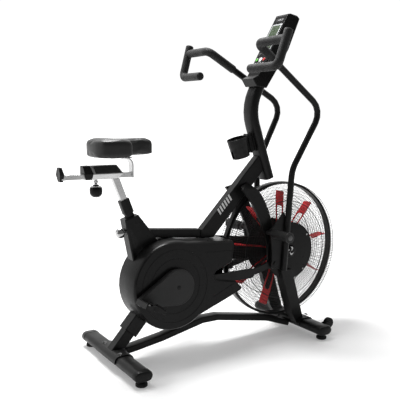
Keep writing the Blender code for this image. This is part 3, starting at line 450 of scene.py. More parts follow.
def sweep(path, radii, sides):
    """A round tube of changing radius along a path."""
    path = [Vector(p) for p in path]
    turns = [2 * pi * k / sides for k in range(sides)]
    side = None
    rings = []
    for i, p in enumerate(path):
        way = direction(path, i)
        side = basis(way)[0] if side is None else (side - way * side.dot(way)).normalized()
        up = way.cross(side)
        rings.append([p + (side * cos(t) + up * sin(t)) * radii[i] for t in turns])
    return loft(rings)


def rounded(points, radii, steps=10):
    """A polyline whose inner corners are arcs of the given radii."""
    path = [Vector(points[0])]
    for i in range(1, len(points) - 1):
        corner = Vector(points[i])
        back = (Vector(points[i - 1]) - corner).normalized()
        on = (Vector(points[i + 1]) - corner).normalized()
        half = back.angle(on) / 2
        centre = corner + (back + on).normalized() * (radii[i - 1] / sin(half))
        first = corner + back * (radii[i - 1] / np.tan(half)) - centre
        last = corner + on * (radii[i - 1] / np.tan(half)) - centre
        for k in range(steps + 1):
            path.append(centre + first.slerp(last, k / steps).normalized() * radii[i - 1])
    return path + [Vector(points[-1])]


def even(path, step):
    """The same path with points a step apart."""
    path = [Vector(p) for p in path]
    lengths = [0.0]
    for a, b in zip(path, path[1:]):
        lengths.append(lengths[-1] + (b - a).length)
    count = max(2, round(lengths[-1] / step))
    wanted = np.linspace(0.0, lengths[-1], count + 1)
    rows = np.array([tuple(p) for p in path])
    return [Vector(np.interp(s, lengths, rows[:, k]) for k in range(3)) for s in wanted]


def rounded_ends(path, radius, nose):
    """Radii that close a tube's two ends in a soft curve of the given length."""
    walked = [0.0]
    for a, b in zip(path, path[1:]):
        walked.append(walked[-1] + (b - a).length)
    radii = []
    for s in walked:
        t = min(1.0, min(s, walked[-1] - s) / nose)
        radii.append(radius * (0.62 + 0.38 * sqrt(1.0 - (1.0 - t) ** 2)))
    return radii


def swung(parts, angle):
    """Mesh parts turned about the arms' pivot."""
    turn = Matrix.Rotation(angle, 3, "Y")
    turned = []
    for points, faces in parts:
        turned.append(([PIVOT_XZ + turn @ (Vector(p) - PIVOT_XZ) for p in points], faces))
    return turned


def mirrored(parts):
    """Mesh parts mirrored in the machine's middle plane."""
    flipped = []
    for points, faces in parts:
        flipped.append(([(p[0], -p[1], p[2]) for p in points], [face[::-1] for face in faces]))
    return flipped


# ---- the fan's hoop and its two wire guards ----
UP = (0, 0, 1)
ACROSS = (0, 1, 0)


def hoop():
    """The hoop between the guards, its outer edges rounded."""
    outer = HOOP_R
    inner = HOOP_R - 0.012
    half = HOOP[1].y
    soft = 0.004
    corner = [(sin(t), cos(t)) for t in (0.0, pi / 6, pi / 3, pi / 2)]
    profile = [(outer - soft + soft * s, half - soft + soft * c) for s, c in corner]
    profile += [(outer - soft + soft * c, -half + soft - soft * s) for s, c in corner]
    profile += [(inner + 0.001, -half), (inner, -half + 0.001)]
    profile += [(inner, half - 0.001), (inner + 0.001, half)]
    return lathe(FAN, ACROSS, profile, 144, around=True)


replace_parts(piece("hoop_ring", [hoop()], METAL, "frame"), "fan_hoop")

WIRE = 0.0009
WIRES = 232
RIM = HOOP_R - 0.0035
DISH = ((0.108, 0.0006), (0.215, 0.0048), (0.300, 0.0072), (0.320, 0.0090))  # radius, depth


def ring_wire(radius, y, thick):
    """A wire ring round the fan's axle."""
    profile = [(radius + thick * cos(t), y + thick * sin(t)) for t in np.arange(6) * pi / 3]
    return lathe((FAN.x, 0.0, FAN.z), ACROSS, profile, 120, around=True)


def guard():
    """The right guard: fine wires from the hub to the rim and round to the hoop, tied by rings."""
    line = [(radius, CAGE_Y - depth) for radius, depth in DISH[:3]]
    line += [(RIM - 0.012, CAGE_Y - DISH[3][1]), (RIM - 0.003, CAGE_Y - 0.0125)]
    line += [(RIM, CAGE_Y - 0.022), (RIM, HOOP[1].y)]
    parts = []
    for k in range(WIRES):
        turn = 2 * pi * k / WIRES
        path = [(FAN.x + r * cos(turn), -y, FAN.z + r * sin(turn)) for r, y in line]
        parts.append(sweep(path, [WIRE] * len(path), 4))
    parts.append(ring_wire(0.242, -CAGE_Y + 0.0067, 0.0013))
    for radius in np.arange(0.150, 0.312, 0.0135):
        depth = np.interp(radius, *zip(*DISH))
        parts.append(ring_wire(radius, -CAGE_Y + depth + WIRE, WIRE * 0.8))
    parts.append(ring_wire(RIM - 0.001, -CAGE_Y + 0.020, 0.0010))
    parts.append(ring_wire(RIM - 0.001, -HOOP[1].y - 0.004, 0.0010))
    outer = 0.112
    inner = 0.054
    back = -CAGE_Y + 0.0016
    plate = [(outer, -CAGE_Y), (outer, back), (inner, back), (inner, -CAGE_Y)]
    parts.append(lathe((FAN.x, 0.0, FAN.z), ACROSS, plate, 64, around=True))
    return parts


RIGHT_GUARD = guard()
for label, wires in (("right", RIGHT_GUARD), ("left", mirrored(RIGHT_GUARD))):
    made = piece(f"guard_{label}", wires, WIRE_PAINT, "frame", 60)
    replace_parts(made, f"cage_{label}")


# ---- the hub covers' roundels and screws ----
def across(side, x, z, height):
    """A point beside the machine; height is its distance from the middle plane."""
    return Vector((x, side * height, z))


def screw_head(centre, axis, radius, height, recess=0.5):
    """A domed screw head with a round socket."""
    profile = [(radius, 0.0), (radius, height * 0.35), (radius * 0.88, height * 0.8)]
    profile += [(radius * 0.66, height), (radius * recess, height)]
    profile += [(radius * recess, height * 0.4), (0.0003, height * 0.36)]
    return lathe(centre, axis, profile, 28)


PETALS = 3
PETAL_START = 0.006
PETAL_LONG = 0.0175


def petals(side, height):
    """A plain fan mark of three curved petals."""
    outline = []
    for t in np.linspace(0.0, 1.0, 9):
        outline.append((PETAL_START + PETAL_LONG * t, 0.9 * t))
    for t in np.linspace(1.0, 0.0, 9):
        outline.append((PETAL_START + PETAL_LONG * t, 0.9 * t + 0.30 + 0.62 * t))
    parts = []
    for k in range(PETALS):
        loops = []
        for level in (height, height + 0.0005):
            loop = []
            for r, turn in outline:
                angle = turn + 2 * pi * k / PETALS
                loop.append(across(side, FAN.x + r * cos(angle), FAN.z + r * sin(angle), level))
            loops.append(loop)
        parts.append(loft(loops))
    return parts


def hub_marks(side, label):
    """A black roundel with a rim and the petals, and three screws near the hub cover's edge."""
    out = (0, side, 0)
    centre = across(side, FAN.x, FAN.z, 0.0)
    disc = [(0.0300, HUB_Y - 0.0011), (0.0300, HUB_Y + 0.0001)]
    disc += [(0.0290, HUB_Y + 0.0006), (0.0003, HUB_Y + 0.0006)]
    ring = [(0.0325, HUB_Y - 0.0012), (0.0322, HUB_Y + 0.0003)]
    ring += [(0.0302, HUB_Y + 0.0006), (0.0302, HUB_Y - 0.0012)]
    roundel = lathe(centre, out, disc, 64)
    rim = lathe(centre, out, ring, 64, around=True)
    piece(f"roundel_{label}", [roundel], SCREEN, "frame")
    piece(f"roundel_rim_{label}", [rim], METAL, "frame")
    piece(f"roundel_mark_{label}", petals(side, HUB_Y + 0.0006), PALE, "frame")
    heads = []
    reach = HUB_R - 0.014
    for turn in (radians(35), radians(-50), radians(120)):
        spot = across(side, FAN.x + reach * cos(turn), FAN.z + reach * sin(turn), HUB_Y - 0.0014)
        heads.append(screw_head(spot, out, 0.0042, 0.0020))
    piece(f"hub_screws_{label}", heads, BOLT, "frame")


for side, label in SIDES:
    hub_marks(side, label)


# ---- grips ----
def grip():
    """The right arm's two foam sleeves, before they swing."""
    bend = Vector(ARM[0])
    top = Vector(ARM[1])
    start = bend + (top - bend) * ((FOAM_START - bend.x) / (top.x - bend.x))
    arm_line = even(rounded([start, *ARM[1:]], [0.032]), 0.0025)
    handle_line = even(rounded(HANDLE, [0.028]), 0.0025)
    return [
        sweep(arm_line, rounded_ends(arm_line, GRIP_R, 0.006), 32),
        sweep(handle_line, rounded_ends(handle_line, GRIP_R, 0.008), 32),
    ]


RIGHT_GRIP = grip()
GRIPS = {"right": swung(RIGHT_GRIP, SWING), "left": swung(mirrored(RIGHT_GRIP), -SWING)}
for side, label in SIDES:
    made = piece(f"foam_{label}", GRIPS[label], FOAM, f"arm_{label}", 60)
    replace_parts(made, f"grip_{label}")


# ---- console ----
def on_face(u, v, lift):
    """A point on the console: u up its face, v across it to the left, and its lift off the face."""
    return FACE + FACE_UP * u + FACE_OUT * lift + Vector((0.0, v, 0.0))


def rounded_rectangle(u, v, corner):
    """A rectangle's outline between two spans, with round corners."""
    points = []
    for k, (a, b) in enumerate(((u[1], v[1]), (u[0], v[1]), (u[0], v[0]), (u[1], v[0]))):
        middle_u = a - corner if a == u[1] else a + corner
        middle_v = b - corner if b == v[1] else b + corner
        for t in np.linspace(0.0, pi / 2, 6) + k * pi / 2:
            points.append((middle_u + corner * cos(t), middle_v + corner * sin(t)))
    return points


def face_plate(u, v, low, high, corner, soft=0.0004):
    """A thin plate on the console's face with a softened edge."""
    outline = rounded_rectangle(u, v, corner)
    inner_u = (u[0] + soft, u[1] - soft)
    inner_v = (v[0] + soft, v[1] - soft)
    inner = rounded_rectangle(inner_u, inner_v, max(corner - soft, 0.0001))
    levels = ((outline, low), (outline, high - soft / 2), (inner, high))
    return loft([[on_face(a, b, level) for a, b in loop] for loop, level in levels])


LCD_LIFT = 0.0014  # the display's glass, over the face
INK_LIFT = LCD_LIFT + 0.0002
# each bar's span up and across, in parts of a figure's height
SEGMENTS = {
    "top": ((0.92, 1.0), (-0.42, 0.42)),
    "middle": ((0.46, 0.54), (-0.42, 0.42)),
    "bottom": ((0.0, 0.08), (-0.42, 0.42)),
    "top_left": ((0.54, 0.92), (0.40, 0.52)),
    "top_right": ((0.54, 0.92), (-0.52, -0.40)),
    "low_left": ((0.08, 0.46), (0.40, 0.52)),
    "low_right": ((0.08, 0.46), (-0.52, -0.40)),
}
ZERO = ("top", "bottom", "top_left", "top_right", "low_left", "low_right")


def zero(u, v, size):
    """A seven-segment nought."""
    bars = []
    for key in ZERO:
        (u0, u1), (v0, v1) = SEGMENTS[key]
        up = (u + u0 * size, u + u1 * size)
        over = (v + v0 * size * 0.55, v + v1 * size * 0.55)
        bars.append(face_plate(up, over, LCD_LIFT, INK_LIFT, 0.0002, 0.0001))
    return bars


def figures():
    """Four rows of noughts with a thin line under each."""
    bars = []
    for row, u in enumerate((0.268, 0.237, 0.205, 0.175)):
        for column in range(4 if row else 3):
            v = 0.0215 - 0.0135 * column - (0.004 if column > 1 else 0.0)
            bars += zero(u, v, 0.019 if row else 0.022)
        line = (u - 0.0052, u - 0.0046)
        bars.append(face_plate(line, (-0.029, 0.029), LCD_LIFT, INK_LIFT, 0.0002, 0.0001))
    return bars


def plates(u, middles, half, high, corner):
    """Equal plates side by side on the console's face."""
    return [face_plate(u, (v - half, v + half), 0.0001, high, corner) for v in middles]


def key_collar(name):
    """A low ring round one of the console's three keys."""
    low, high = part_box(name)
    spot = middle(name)
    inner = (high.y - low.y) / 2 + 0.0008
    outer = (high.y - low.y) / 2 + 0.0026
    profile = [(outer, 0.0001), (outer - 0.0002, 0.0009), (inner, 0.0009), (inner, 0.0001)]
    centre = on_face((spot - FACE).dot(FACE_UP), spot.y, 0.0)
    return lathe(centre, FACE_OUT, profile, 40, around=True)


border = face_plate((0.158, 0.304), (-0.0370, 0.0370), 0.0001, 0.0012, 0.004)
glass = face_plate((0.1655, 0.2965), (-0.0310, 0.0310), 0.0004, LCD_LIFT, 0.002)
piece("display_border", [border], KEY, "frame")
piece("display_glass", [glass], display(), "frame")
INK = enamel("display_ink", (0.010, 0.020, 0.008), (0.016, 0.028, 0.012))
piece("display_figures", figures(), INK, "frame")
small_keys = plates((0.0800, 0.0895), (0.029, 0.0098, -0.0098, -0.029), 0.0080, 0.0016, 0.003)
piece("small_keys", small_keys, KEY, "frame")
red_bar = face_plate((0.0600, 0.0700), (-0.006, 0.032), 0.0001, 0.0010, 0.002)
piece("red_bar", [red_bar], RED, "frame")
badge = face_plate((0.318, 0.336), (-0.027, 0.027), 0.0001, 0.0006, 0.006)
piece("status_badge", [badge], CAP, "frame")
badge_bars = []
for v in (-0.006, 0.006):
    badge_bars.append(face_plate((0.3245, 0.3295), (v - 0.0042, v + 0.0042), 0.0006, 0.0010, 0.002))
piece("status_bars", badge_bars, KEY, "frame")
piece("status_panels", plates((0.128, 0.146), (0.029, -0.027), 0.009, 0.0007, 0.003), CAP, "frame")
collars = [key_collar(name) for name in ("button_green", "button_white", "button_red")]
piece("key_collars", collars, CAP, "frame")


# ---- saddle ----
# half the saddle's outline from above: how far forward of its rear end, and how far out
SADDLE_HALF = (
    (0.000, 0.030), (0.006, 0.064), (0.022, 0.092), (0.048, 0.109), (0.084, 0.1165),
    (0.128, 0.1165), (0.146, 0.110), (0.155, 0.092), (0.162, 0.066), (0.182, 0.051),
    (0.262, 0.044), (0.280, 0.035), (0.286, 0.018),
)
# how far in the stuffed form's outline lies, and at which share of its height
SADDLE_LEVELS = (
    (0.014, 0.0), (0.005, 0.03), (0.003, 0.15), (0.003, 0.72), (0.005, 0.88), (0.010, 0.97),
    (0.020, 1.0),
)
DIP = 0.158  # the middle of the dip across the saddle
PAD_SWELL = 0.007  # how far the pressure may push a point


def saddle_plan(inset):
    """The saddle's outline seen from above, smoothed and moved in by an inset."""
    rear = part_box("saddle")[0].x
    half = [(rear + a, b) for a, b in SADDLE_HALF]
    corners = [Vector((x, -y)) for x, y in half] + [Vector((x, y)) for x, y in reversed(half)]
    plan = []
    n = len(corners)
    for i, b in enumerate(corners):
        a = corners[i - 1]
        c = corners[(i + 1) % n]
        d = corners[(i + 2) % n]
        for k in range(6):
            t = k / 6
            plan.append(0.5 * ((2 * b) + (c - a) * t + (2 * a - 5 * b + 4 * c - d) * t * t
                               + (3 * b - a - 3 * c + d) * t * t * t))
    moved = []
    n = len(plan)
    for i, p in enumerate(plan):
        way = (plan[(i + 1) % n] - plan[i - 1]).normalized()
        moved.append(p + Vector((-way.y, way.x)) * inset)
    return moved


def saddle_start():
    """The stuffed form before it is blown up: crowned, with a dip, and its nose raised below."""
    low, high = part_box("saddle")
    bottom = low.z + 0.003
    tall = high.z - 0.004 - bottom
    loops = []
    for inset, share in SADDLE_LEVELS:
        loops.append([Vector((p.x, p.y, bottom + tall * share)) for p in saddle_plan(inset)])
    for loop in loops[3:]:
        for p in loop:
            p.z -= 0.0060 * np.exp(-(((p.x - low.x) - DIP) / 0.035) ** 2)
    for loop in loops[:2]:
        for p in loop:
            p.z += 0.010 * min(1.0, max(0.0, (p.x - low.x - 0.120) / 0.060))
    return loft(loops)


def add_object(name, parts):
    """A bare object from points and faces."""
    mesh = bpy.data.meshes.new(name)
    mesh.from_pydata([tuple(p) for p in parts[0]], [], parts[1])
    item = bpy.data.objects.new(name, mesh)
    bpy.context.scene.collection.objects.link(item)
    return item


def applied(item):
    """The item's mesh with its modifiers applied, and none left on it."""
    graph = bpy.context.evaluated_depsgraph_get()
    made = bpy.data.meshes.new_from_object(item.evaluated_get(graph))
    item.modifiers.clear()
    item.data = made


def inflate(item, cap):
    """Blows the form up as a cloth skin and limits how far each point may go."""
    remesh = item.modifiers.new("voxels", "REMESH")
    remesh.mode = "VOXEL"
    remesh.voxel_size = 0.005
    applied(item)
    before = np.array([v.co for v in item.data.vertices])
    cloth = item.modifiers.new("skin", "CLOTH")
    cloth.settings.use_pressure = True
    cloth.settings.uniform_pressure_force = 4.0
    cloth.settings.effector_weights.gravity = 0.0
    cloth.settings.tension_stiffness = 40.0
    cloth.settings.compression_stiffness = 40.0
    for step in range(1, 21):
        bpy.context.scene.frame_set(step)
    applied(item)
    bpy.context.scene.frame_set(1)
    after = np.array([v.co for v in item.data.vertices])
    move = after - before
    length = np.linalg.norm(move, axis=1, keepdims=True)
    after = before + move * np.minimum(1.0, cap / np.maximum(length, 1e-9))
    item.data.vertices.foreach_set("co", after.ravel())
    item.data.update()


def fit_to(item, low, high):
    """Keeps the piece inside a box."""
    points = np.array([v.co for v in item.data.vertices])
    points = np.clip(points, np.array(low), np.array(high))
    item.data.vertices.foreach_set("co", points.ravel())
    item.data.update()


saddle = add_object("saddle_pad", saddle_start())
inflate(saddle, PAD_SWELL)
lowest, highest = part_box("saddle")
more = Vector((0.012, 0.002, 0.004))
fit_to(saddle, lowest + Vector((0.0, -0.002, 0.0002)), highest + more)
soft = saddle.modifiers.new("soft", "SUBSURF")
soft.levels = 1
soft.render_levels = 1
applied(saddle)
saddle.data.polygons.foreach_set("use_smooth", [True] * len(saddle.data.polygons))
saddle.data.materials.clear()
saddle.data.materials.append(VINYL)
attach(saddle, "seat_slider")
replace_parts(saddle, "saddle")


# ---- the seat's fittings ----
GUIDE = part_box("seat_guide")
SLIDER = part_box("slider_tube")
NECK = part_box("saddle_neck")


def slab(outline, half, middle_y=0.0):
    """A plate with a given outline in the XZ plane, half its thickness each side of its middle."""
    return loft([[(x, middle_y + y, z) for x, z in outline] for y in (-half, half)])


def eased(item, width, segments=3):
    """Softened edges for a plate."""
    bevel = item.modifiers.new("edges", "BEVEL")
    bevel.width = width
    bevel.segments = segments
    bevel.angle_limit = radians(25)
    bevel.harden_normals = True
    return item


def six_sided(starts, ends, widths, heights):
    """A bar with a six-sided section; each list runs from its bottom to its shoulder to its top."""
    order = ((-1, 2), (-1, 1), (-1, 0), (1, 0), (1, 1), (1, 2))
    rings = []
    for xs in (starts, ends):
        rings.append([Vector((xs[k], sign * widths[k], heights[k])) for sign, k in order])
    return loft(rings)


def slanted_panel(x_spans, widths, heights, thick):
    """A thin panel on each upper flank of a six-sided bar, each list from lower to upper edge."""
    flanks = []
    for sign in (-1, 1):
        out = Vector((0.0, sign * (heights[1] - heights[0]), widths[0] - widths[1])).normalized()
        loop = []
        for k, end in ((0, 0), (0, 1), (1, 1), (1, 0)):
            loop.append(Vector((x_spans[k][end], sign * widths[k], heights[k])))
        flanks.append(loft([loop, [p + out * thick for p in loop]]))
    return flanks


def seat_rail():
    """The silver rail on the post with its two side panels, and the clamp round its rear end."""
    rear = GUIDE[0].x
    half = GUIDE[1].y
    bottom = GUIDE[0].z
    shoulder = bottom + 0.0215
    top = GUIDE[1].z
    starts = (rear + 0.004, rear + 0.012, rear + 0.004)
    ends = (rear + 0.148, rear + 0.174, rear + 0.148)
    bar = six_sided(starts, ends, (0.0210, half, 0.0120), (bottom, shoulder, top))
    made = eased(piece("seat_rail", [bar], SILVER, "seat_support"), 0.0012, 2)
    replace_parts(made, "seat_guide")
    spans = ((rear + 0.049, rear + 0.164), (rear + 0.043, rear + 0.145))
    panels = slanted_panel(spans, (half - 0.0012, 0.0132), (shoulder + 0.003, top - 0.003), 0.0009)
    # The side panels take the crank cover's lighter grey: a painted reflection, lighter than the
    # panels' own dark tone.
    piece("rail_panels", panels, COVER, "seat_support")
    starts = (rear + 0.006, rear, rear - 0.004)
    ends = (rear + 0.034, rear + 0.040, rear + 0.028)
    widths = (0.0215, half + 0.0022, 0.0150)
    clamp = six_sided(starts, ends, widths, (bottom - 0.0004, shoulder + 0.003, top + 0.0004))
    eased(piece("clamp_block", [clamp], CAP, "seat_support"), 0.0022)


BAR_LOW = 0.8175  # the sliding bar's lower and upper faces
BAR_HIGH = 0.8375
END_CAP_LEVELS = (0.8105, 0.8400, 0.8690)


def slider():
    """The silver bar that slides in the rail, with the black cap on its rear end."""
    rear = SLIDER[0].x
    start = rear + 0.0100
    end = SLIDER[1].x
    bar = slab([(start, BAR_LOW), (end, BAR_LOW), (end, BAR_HIGH), (start, BAR_HIGH)], 0.0190)
    made = eased(piece("slider_bar", [bar], SILVER, "seat_slider"), 0.0015, 2)
    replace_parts(made, "slider_tube")
    starts = (rear + 0.0040, rear, rear + 0.0020)
    ends = (rear + 0.0180, rear + 0.0200, rear + 0.0140)
    cap = six_sided(starts, ends, (0.0130, 0.0266, 0.0130), END_CAP_LEVELS)
    eased(piece("slider_cap", [cap], CAP, "seat_slider"), 0.0020)


def neck():
    """A flat bar bent from under the saddle down to the slider."""
    x = NECK[0].x + 0.1080
    z = NECK[1].z - 0.0035
    half = 0.019
    line = rounded([(x - 0.052, 0, z), (x, 0, z), (x, 0, NECK[0].z)], [0.032], 12)
    rings = []
    for i, p in enumerate(line):
        way = direction(line, i)
        out = Vector((way.z, 0.0, -way.x)) * 0.0034
        rings.append([p + out + Vector((0, -half, 0)), p + out + Vector((0, half, 0)),
                      p - out + Vector((0, half, 0)), p - out + Vector((0, -half, 0))])
    return loft(rings)


seat_rail()
slider()
made = eased(piece("neck_bar", [neck()], SILVER, "seat_slider"), 0.0010, 2)
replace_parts(made, "saddle_neck")
PAN_START = NECK[0].x
PAN_END = NECK[1].x - 0.080
PAN_LOW = NECK[1].z - 0.0034
PAN_HIGH = NECK[1].z - 0.0002
pan = [(PAN_START, PAN_LOW), (PAN_END, PAN_LOW), (PAN_END, PAN_HIGH), (PAN_START, PAN_HIGH)]
eased(piece("saddle_pan", [slab(pan, 0.040)], CAP, "seat_slider"), 0.0008, 2)


def lock_knob():
    """The slider's knob: a round black body between silver fittings, on a turned stem."""
    foot = [(0.0003, 0.0), (0.0100, 0.0), (0.0150, 0.0018), (0.0152, 0.0037), (0.0003, 0.0040)]
    body = [(0.0150, 0.0035), (0.0185, 0.0060), (0.0225, 0.0100), (0.0252, 0.0155)]
    body += [(0.0264, 0.0225), (0.0264, 0.0345), (0.0250, 0.0405), (0.0225, 0.0440)]
    ring = [(0.0228, 0.0438), (0.0222, 0.0462), (0.0190, 0.0482), (0.0105, 0.0488)]
    ring.append((0.0105, 0.0430))
    collar = [(0.0125, 0.0486), (0.0125, 0.0525), (0.0110, 0.0535), (0.0003, 0.0536)]
    stem = [(0.0052, 0.0530), (0.0052, 0.0570), (0.0085, 0.0600), (0.0102, 0.0650)]
    stem += [(0.0085, 0.0700), (0.0052, 0.0725), (0.0052, 0.0782)]
    spot = Vector((middle("ball_knob").x, 0.0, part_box("ball_knob")[0].z))
    black = [lathe(spot, UP, body, 56), lathe(spot, UP, collar, 40)]
    silver = [lathe(spot, UP, foot, 48), lathe(spot, UP, ring, 56, around=True)]
    silver.append(lathe(spot, UP, stem, 32))
    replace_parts(piece("knob_body", black, CAP, "ball_knob"), "ball_knob")
    piece("knob_silver", silver, SILVER, "ball_knob")


def pull_knob():
    """The chrome knob of the seat post's pin, turned about the way it pulls."""
    way = Vector(JOINTS["pop_pin_pull"]["axis"]).normalized()
    profile = [(0.0045, -0.030), (0.0050, -0.008), (0.0080, -0.008), (0.0080, 0.000)]
    profile += [(0.0155, 0.002), (0.0200, 0.006), (0.0222, 0.013), (0.0222, 0.018)]
    profile += [(0.0200, 0.026), (0.0160, 0.031), (0.0090, 0.0335), (0.0003, 0.0340)]
    knob = lathe(middle("pop_pin"), way, profile, 56)
    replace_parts(piece("pull_knob", [knob], CHROME, "pop_pin", 30), "pop_pin")


lock_knob()
pull_knob()


# ---- pedals ----
PEDAL_TURN = radians(24)  # the pedals' tilt at rest
PEDAL_Y = -0.1515  # the right pedal's inner end
RAIL_X = 0.046
TEETH = 8


def across_pedal(x, half, low, high):
    """A rectangle's outline, square to the pedal's axle."""
    return [(x - half, low), (x + half, low), (x + half, high), (x - half, high)]


def pedal():
    """The right pedal: a barrel and two toothed rails joined by ribs, with screws at its corners."""
    black = []
    metal = []
    barrel = [(0.0125, 0.000), (0.0125, 0.004), (0.0100, 0.006), (0.0100, 0.092)]
    barrel += [(0.0130, 0.094), (0.0130, 0.098), (0.0003, 0.0985)]
    black.append(lathe((0, 0.0, 0), (0, -1, 0), barrel, 32))
    for x in (-RAIL_X, RAIL_X):
        black.append(slab(across_pedal(x, 0.0035, -0.0125, 0.0085), 0.046, -0.049))
        tooth = [(x - 0.003, 0.008), (x + 0.003, 0.008), (x + 0.0012, 0.0128), (x - 0.0012, 0.0128)]
        for k in range(TEETH):
            black.append(slab(tooth, 0.0028, -0.009 - 0.0115 * k))
    rib = [(-RAIL_X, -0.010), (RAIL_X, -0.010), (RAIL_X, 0.002)]
    rib += [(0.012, 0.0095), (-0.012, 0.0095), (-RAIL_X, 0.002)]
    for y in (-0.006, -0.034, -0.064, -0.0945):
        black.append(slab(rib, 0.0026, y))
    for x in (-0.028, 0.028):
        for y in (-0.020, -0.079):
            metal.append(screw_head(Vector((x, y, 0.001)), UP, 0.0046, 0.0050))
            black.append(slab(across_pedal(x, 0.011, -0.006, 0.0015), 0.0068, y))
    spindle = [(0.0060, 0.001), (0.0060, 0.030), (0.0085, 0.031), (0.0085, 0.0385)]
    metal.append(lathe((0, 0.0385, 0), (0, -1, 0), spindle, 24))
    return black, metal


def placed(parts, turn, shift, mirror):
    """Mesh parts turned about Y, moved, and mirrored in the middle plane where asked."""
    spin = Matrix.Rotation(turn, 3, "Y")
    moved = [([Vector(shift) + spin @ Vector(p) for p in points], faces) for points, faces in parts]
    return mirrored(moved) if mirror else moved


BLACK_PEDAL, METAL_PEDAL = pedal()
for side, label in SIDES:
    axle = Vector(JOINTS[f"pedal_{label}_spin"]["pos_m"])
    shift = (axle.x, PEDAL_Y, axle.z)
    black = placed(BLACK_PEDAL, PEDAL_TURN, shift, side > 0)
    made = piece(f"pedal_cage_{label}", black, CAP, f"pedal_{label}", 30)
    eased(made, 0.0006, 2)
    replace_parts(made, f"pedal_{label}")
    metal = placed(METAL_PEDAL, PEDAL_TURN, shift, side > 0)
    piece(f"pedal_metal_{label}", metal, BOLT, f"pedal_{label}")
    profile = [(0.011, 0.0), (0.011, 0.0004), (0.0095, 0.0010), (0.0003, 0.0012)]
    plug = lathe(across(side, CRANK.x, CRANK.z, 0.1392), (0, side, 0), profile, 32)
    piece(f"crank_plug_{label}", [plug], CAP, "crankset")


# ---- the bottle basket ----
CUP_FOOT = Vector((0.1569, 0.0, 0.8796))
CUP_TURN = Matrix.Rotation(radians(-16), 3, "Y")
CUP_TALL = 0.092
CUP_MIDDLE = 0.006  # the oval's middle, towards the mast from its foot
CUP_LONG = 0.052
CUP_WIDE = 0.0445
CUP_WALL = 0.0026


def in_cup(x, y, z):
    """A point given in the basket's own axes, which tilt with the mast."""
    return CUP_FOOT + CUP_TURN @ Vector((x, y, z))


def oval(turn, z, inset):
    """A point on the basket's tapered wall; the angle is from its front."""
    grow = 0.84 + 0.16 * z / CUP_TALL
    x = CUP_MIDDLE - (CUP_LONG * grow - inset) * cos(turn)
    y = (CUP_WIDE * grow - inset) * sin(turn)
    return in_cup(x, y, z)


def basket_wall(start, end, low, high, skin=0.0):
    """A stretch of the wall between two angles, in degrees; skin makes it thinner on each face."""
    rings = []
    for turn in np.linspace(radians(start), radians(end), 25):
        corners = ((low, skin), (high, skin), (high, CUP_WALL - skin), (low, CUP_WALL - skin))
        rings.append([oval(turn, z, inset) for z, inset in corners])
    return loft(rings)


def basket_lip(height, thick):
    """A round bead along the top of the wall."""
    rings = []
    for turn in np.arange(72) * 2 * pi / 72:
        spots = [(thick * cos(t), thick * sin(t)) for t in np.arange(8) * pi / 4]
        rings.append([oval(turn, height + up, CUP_WALL / 2 + side) for side, up in spots])
    return loft(rings, around=True)


def cup_block(x, y, z):
    """A block in the basket's own axes, between pairs of bounds."""
    corners = ((x[0], y[0]), (x[1], y[0]), (x[1], y[1]), (x[0], y[1]))
    return loft([[in_cup(a, b, c) for a, b in corners] for c in z])


def basket_parts():
    """The cup: floor, lip and walls, open low at its front and at each side of its back."""
    parts = [basket_wall(-14, 14, 0.042, CUP_TALL, 0.0002), basket_wall(126, 234, 0.0, CUP_TALL)]
    for flip in (-1, 1):
        parts.append(basket_wall(flip * 12, flip * 116, 0.0, CUP_TALL))
        parts.append(basket_wall(flip * 114, flip * 128, 0.0, 0.015, 0.0002))
        parts.append(basket_wall(flip * 114, flip * 128, CUP_TALL - 0.016, CUP_TALL, 0.0002))
    turns = np.arange(48) * 2 * pi / 48
    parts.append(loft([[oval(turn, z, CUP_WALL / 2) for turn in turns] for z in (0.0008, 0.0036)]))
    parts.append(basket_lip(CUP_TALL, 0.0022))
    return parts


made = piece("bottle_basket", basket_parts(), CAP, "frame")
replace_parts(made, "bottle_holder")
bracket = [cup_block((0.050, 0.0885), (-0.0135, 0.0135), (0.010, 0.094))]
for x in (0.0575, 0.0815):
    bracket.append(cup_block((x, x + 0.0065), (-0.0190, 0.0190), (0.006, 0.098)))
eased(piece("basket_bracket", bracket, CAP, "frame"), 0.0015)


# ---- a plain striped mark on the diagonal tube ----
TUBE_FACE = 0.0225  # the diagonal tube's side, from the middle plane
ALONG = Vector((0.306, 0.0, 0.3225)).normalized()
SQUARE = Vector((-ALONG.z, 0.0, ALONG.x))
FIRST_STRIPE = Vector((0.030, 0.0, 0.618))


def tube_stripes():
    """Six slanted stripes side by side along the tube."""
    stripes = []
    for k in range(6):
        a = FIRST_STRIPE + ALONG * (0.017 * k)
        upper = a + SQUARE * 0.030
        corners = [a, a + ALONG * 0.0095, upper + ALONG * 0.0165, upper + ALONG * 0.007]
        stripes.append(slab([(p.x, p.z) for p in corners], 0.0003, -TUBE_FACE))
    return stripes


piece("tube_stripes", tube_stripes(), PALE, "frame")


# ---- bolts and foot pegs ----
STAND_TOP = 0.0738  # the floor tubes' upper edge, where their bolts sit
BOLT_Y = 0.082
PEG_R = 0.0221
RIDGES = 24


def washer(centre, axis, radius):
    """A flat ring with a softened edge."""
    profile = [(radius, 0.0), (radius, 0.00105), (radius * 0.92, 0.0015)]
    profile += [(radius * 0.5, 0.0015), (radius * 0.5, 0.0)]
    return lathe(centre, axis, profile, 36, around=True)


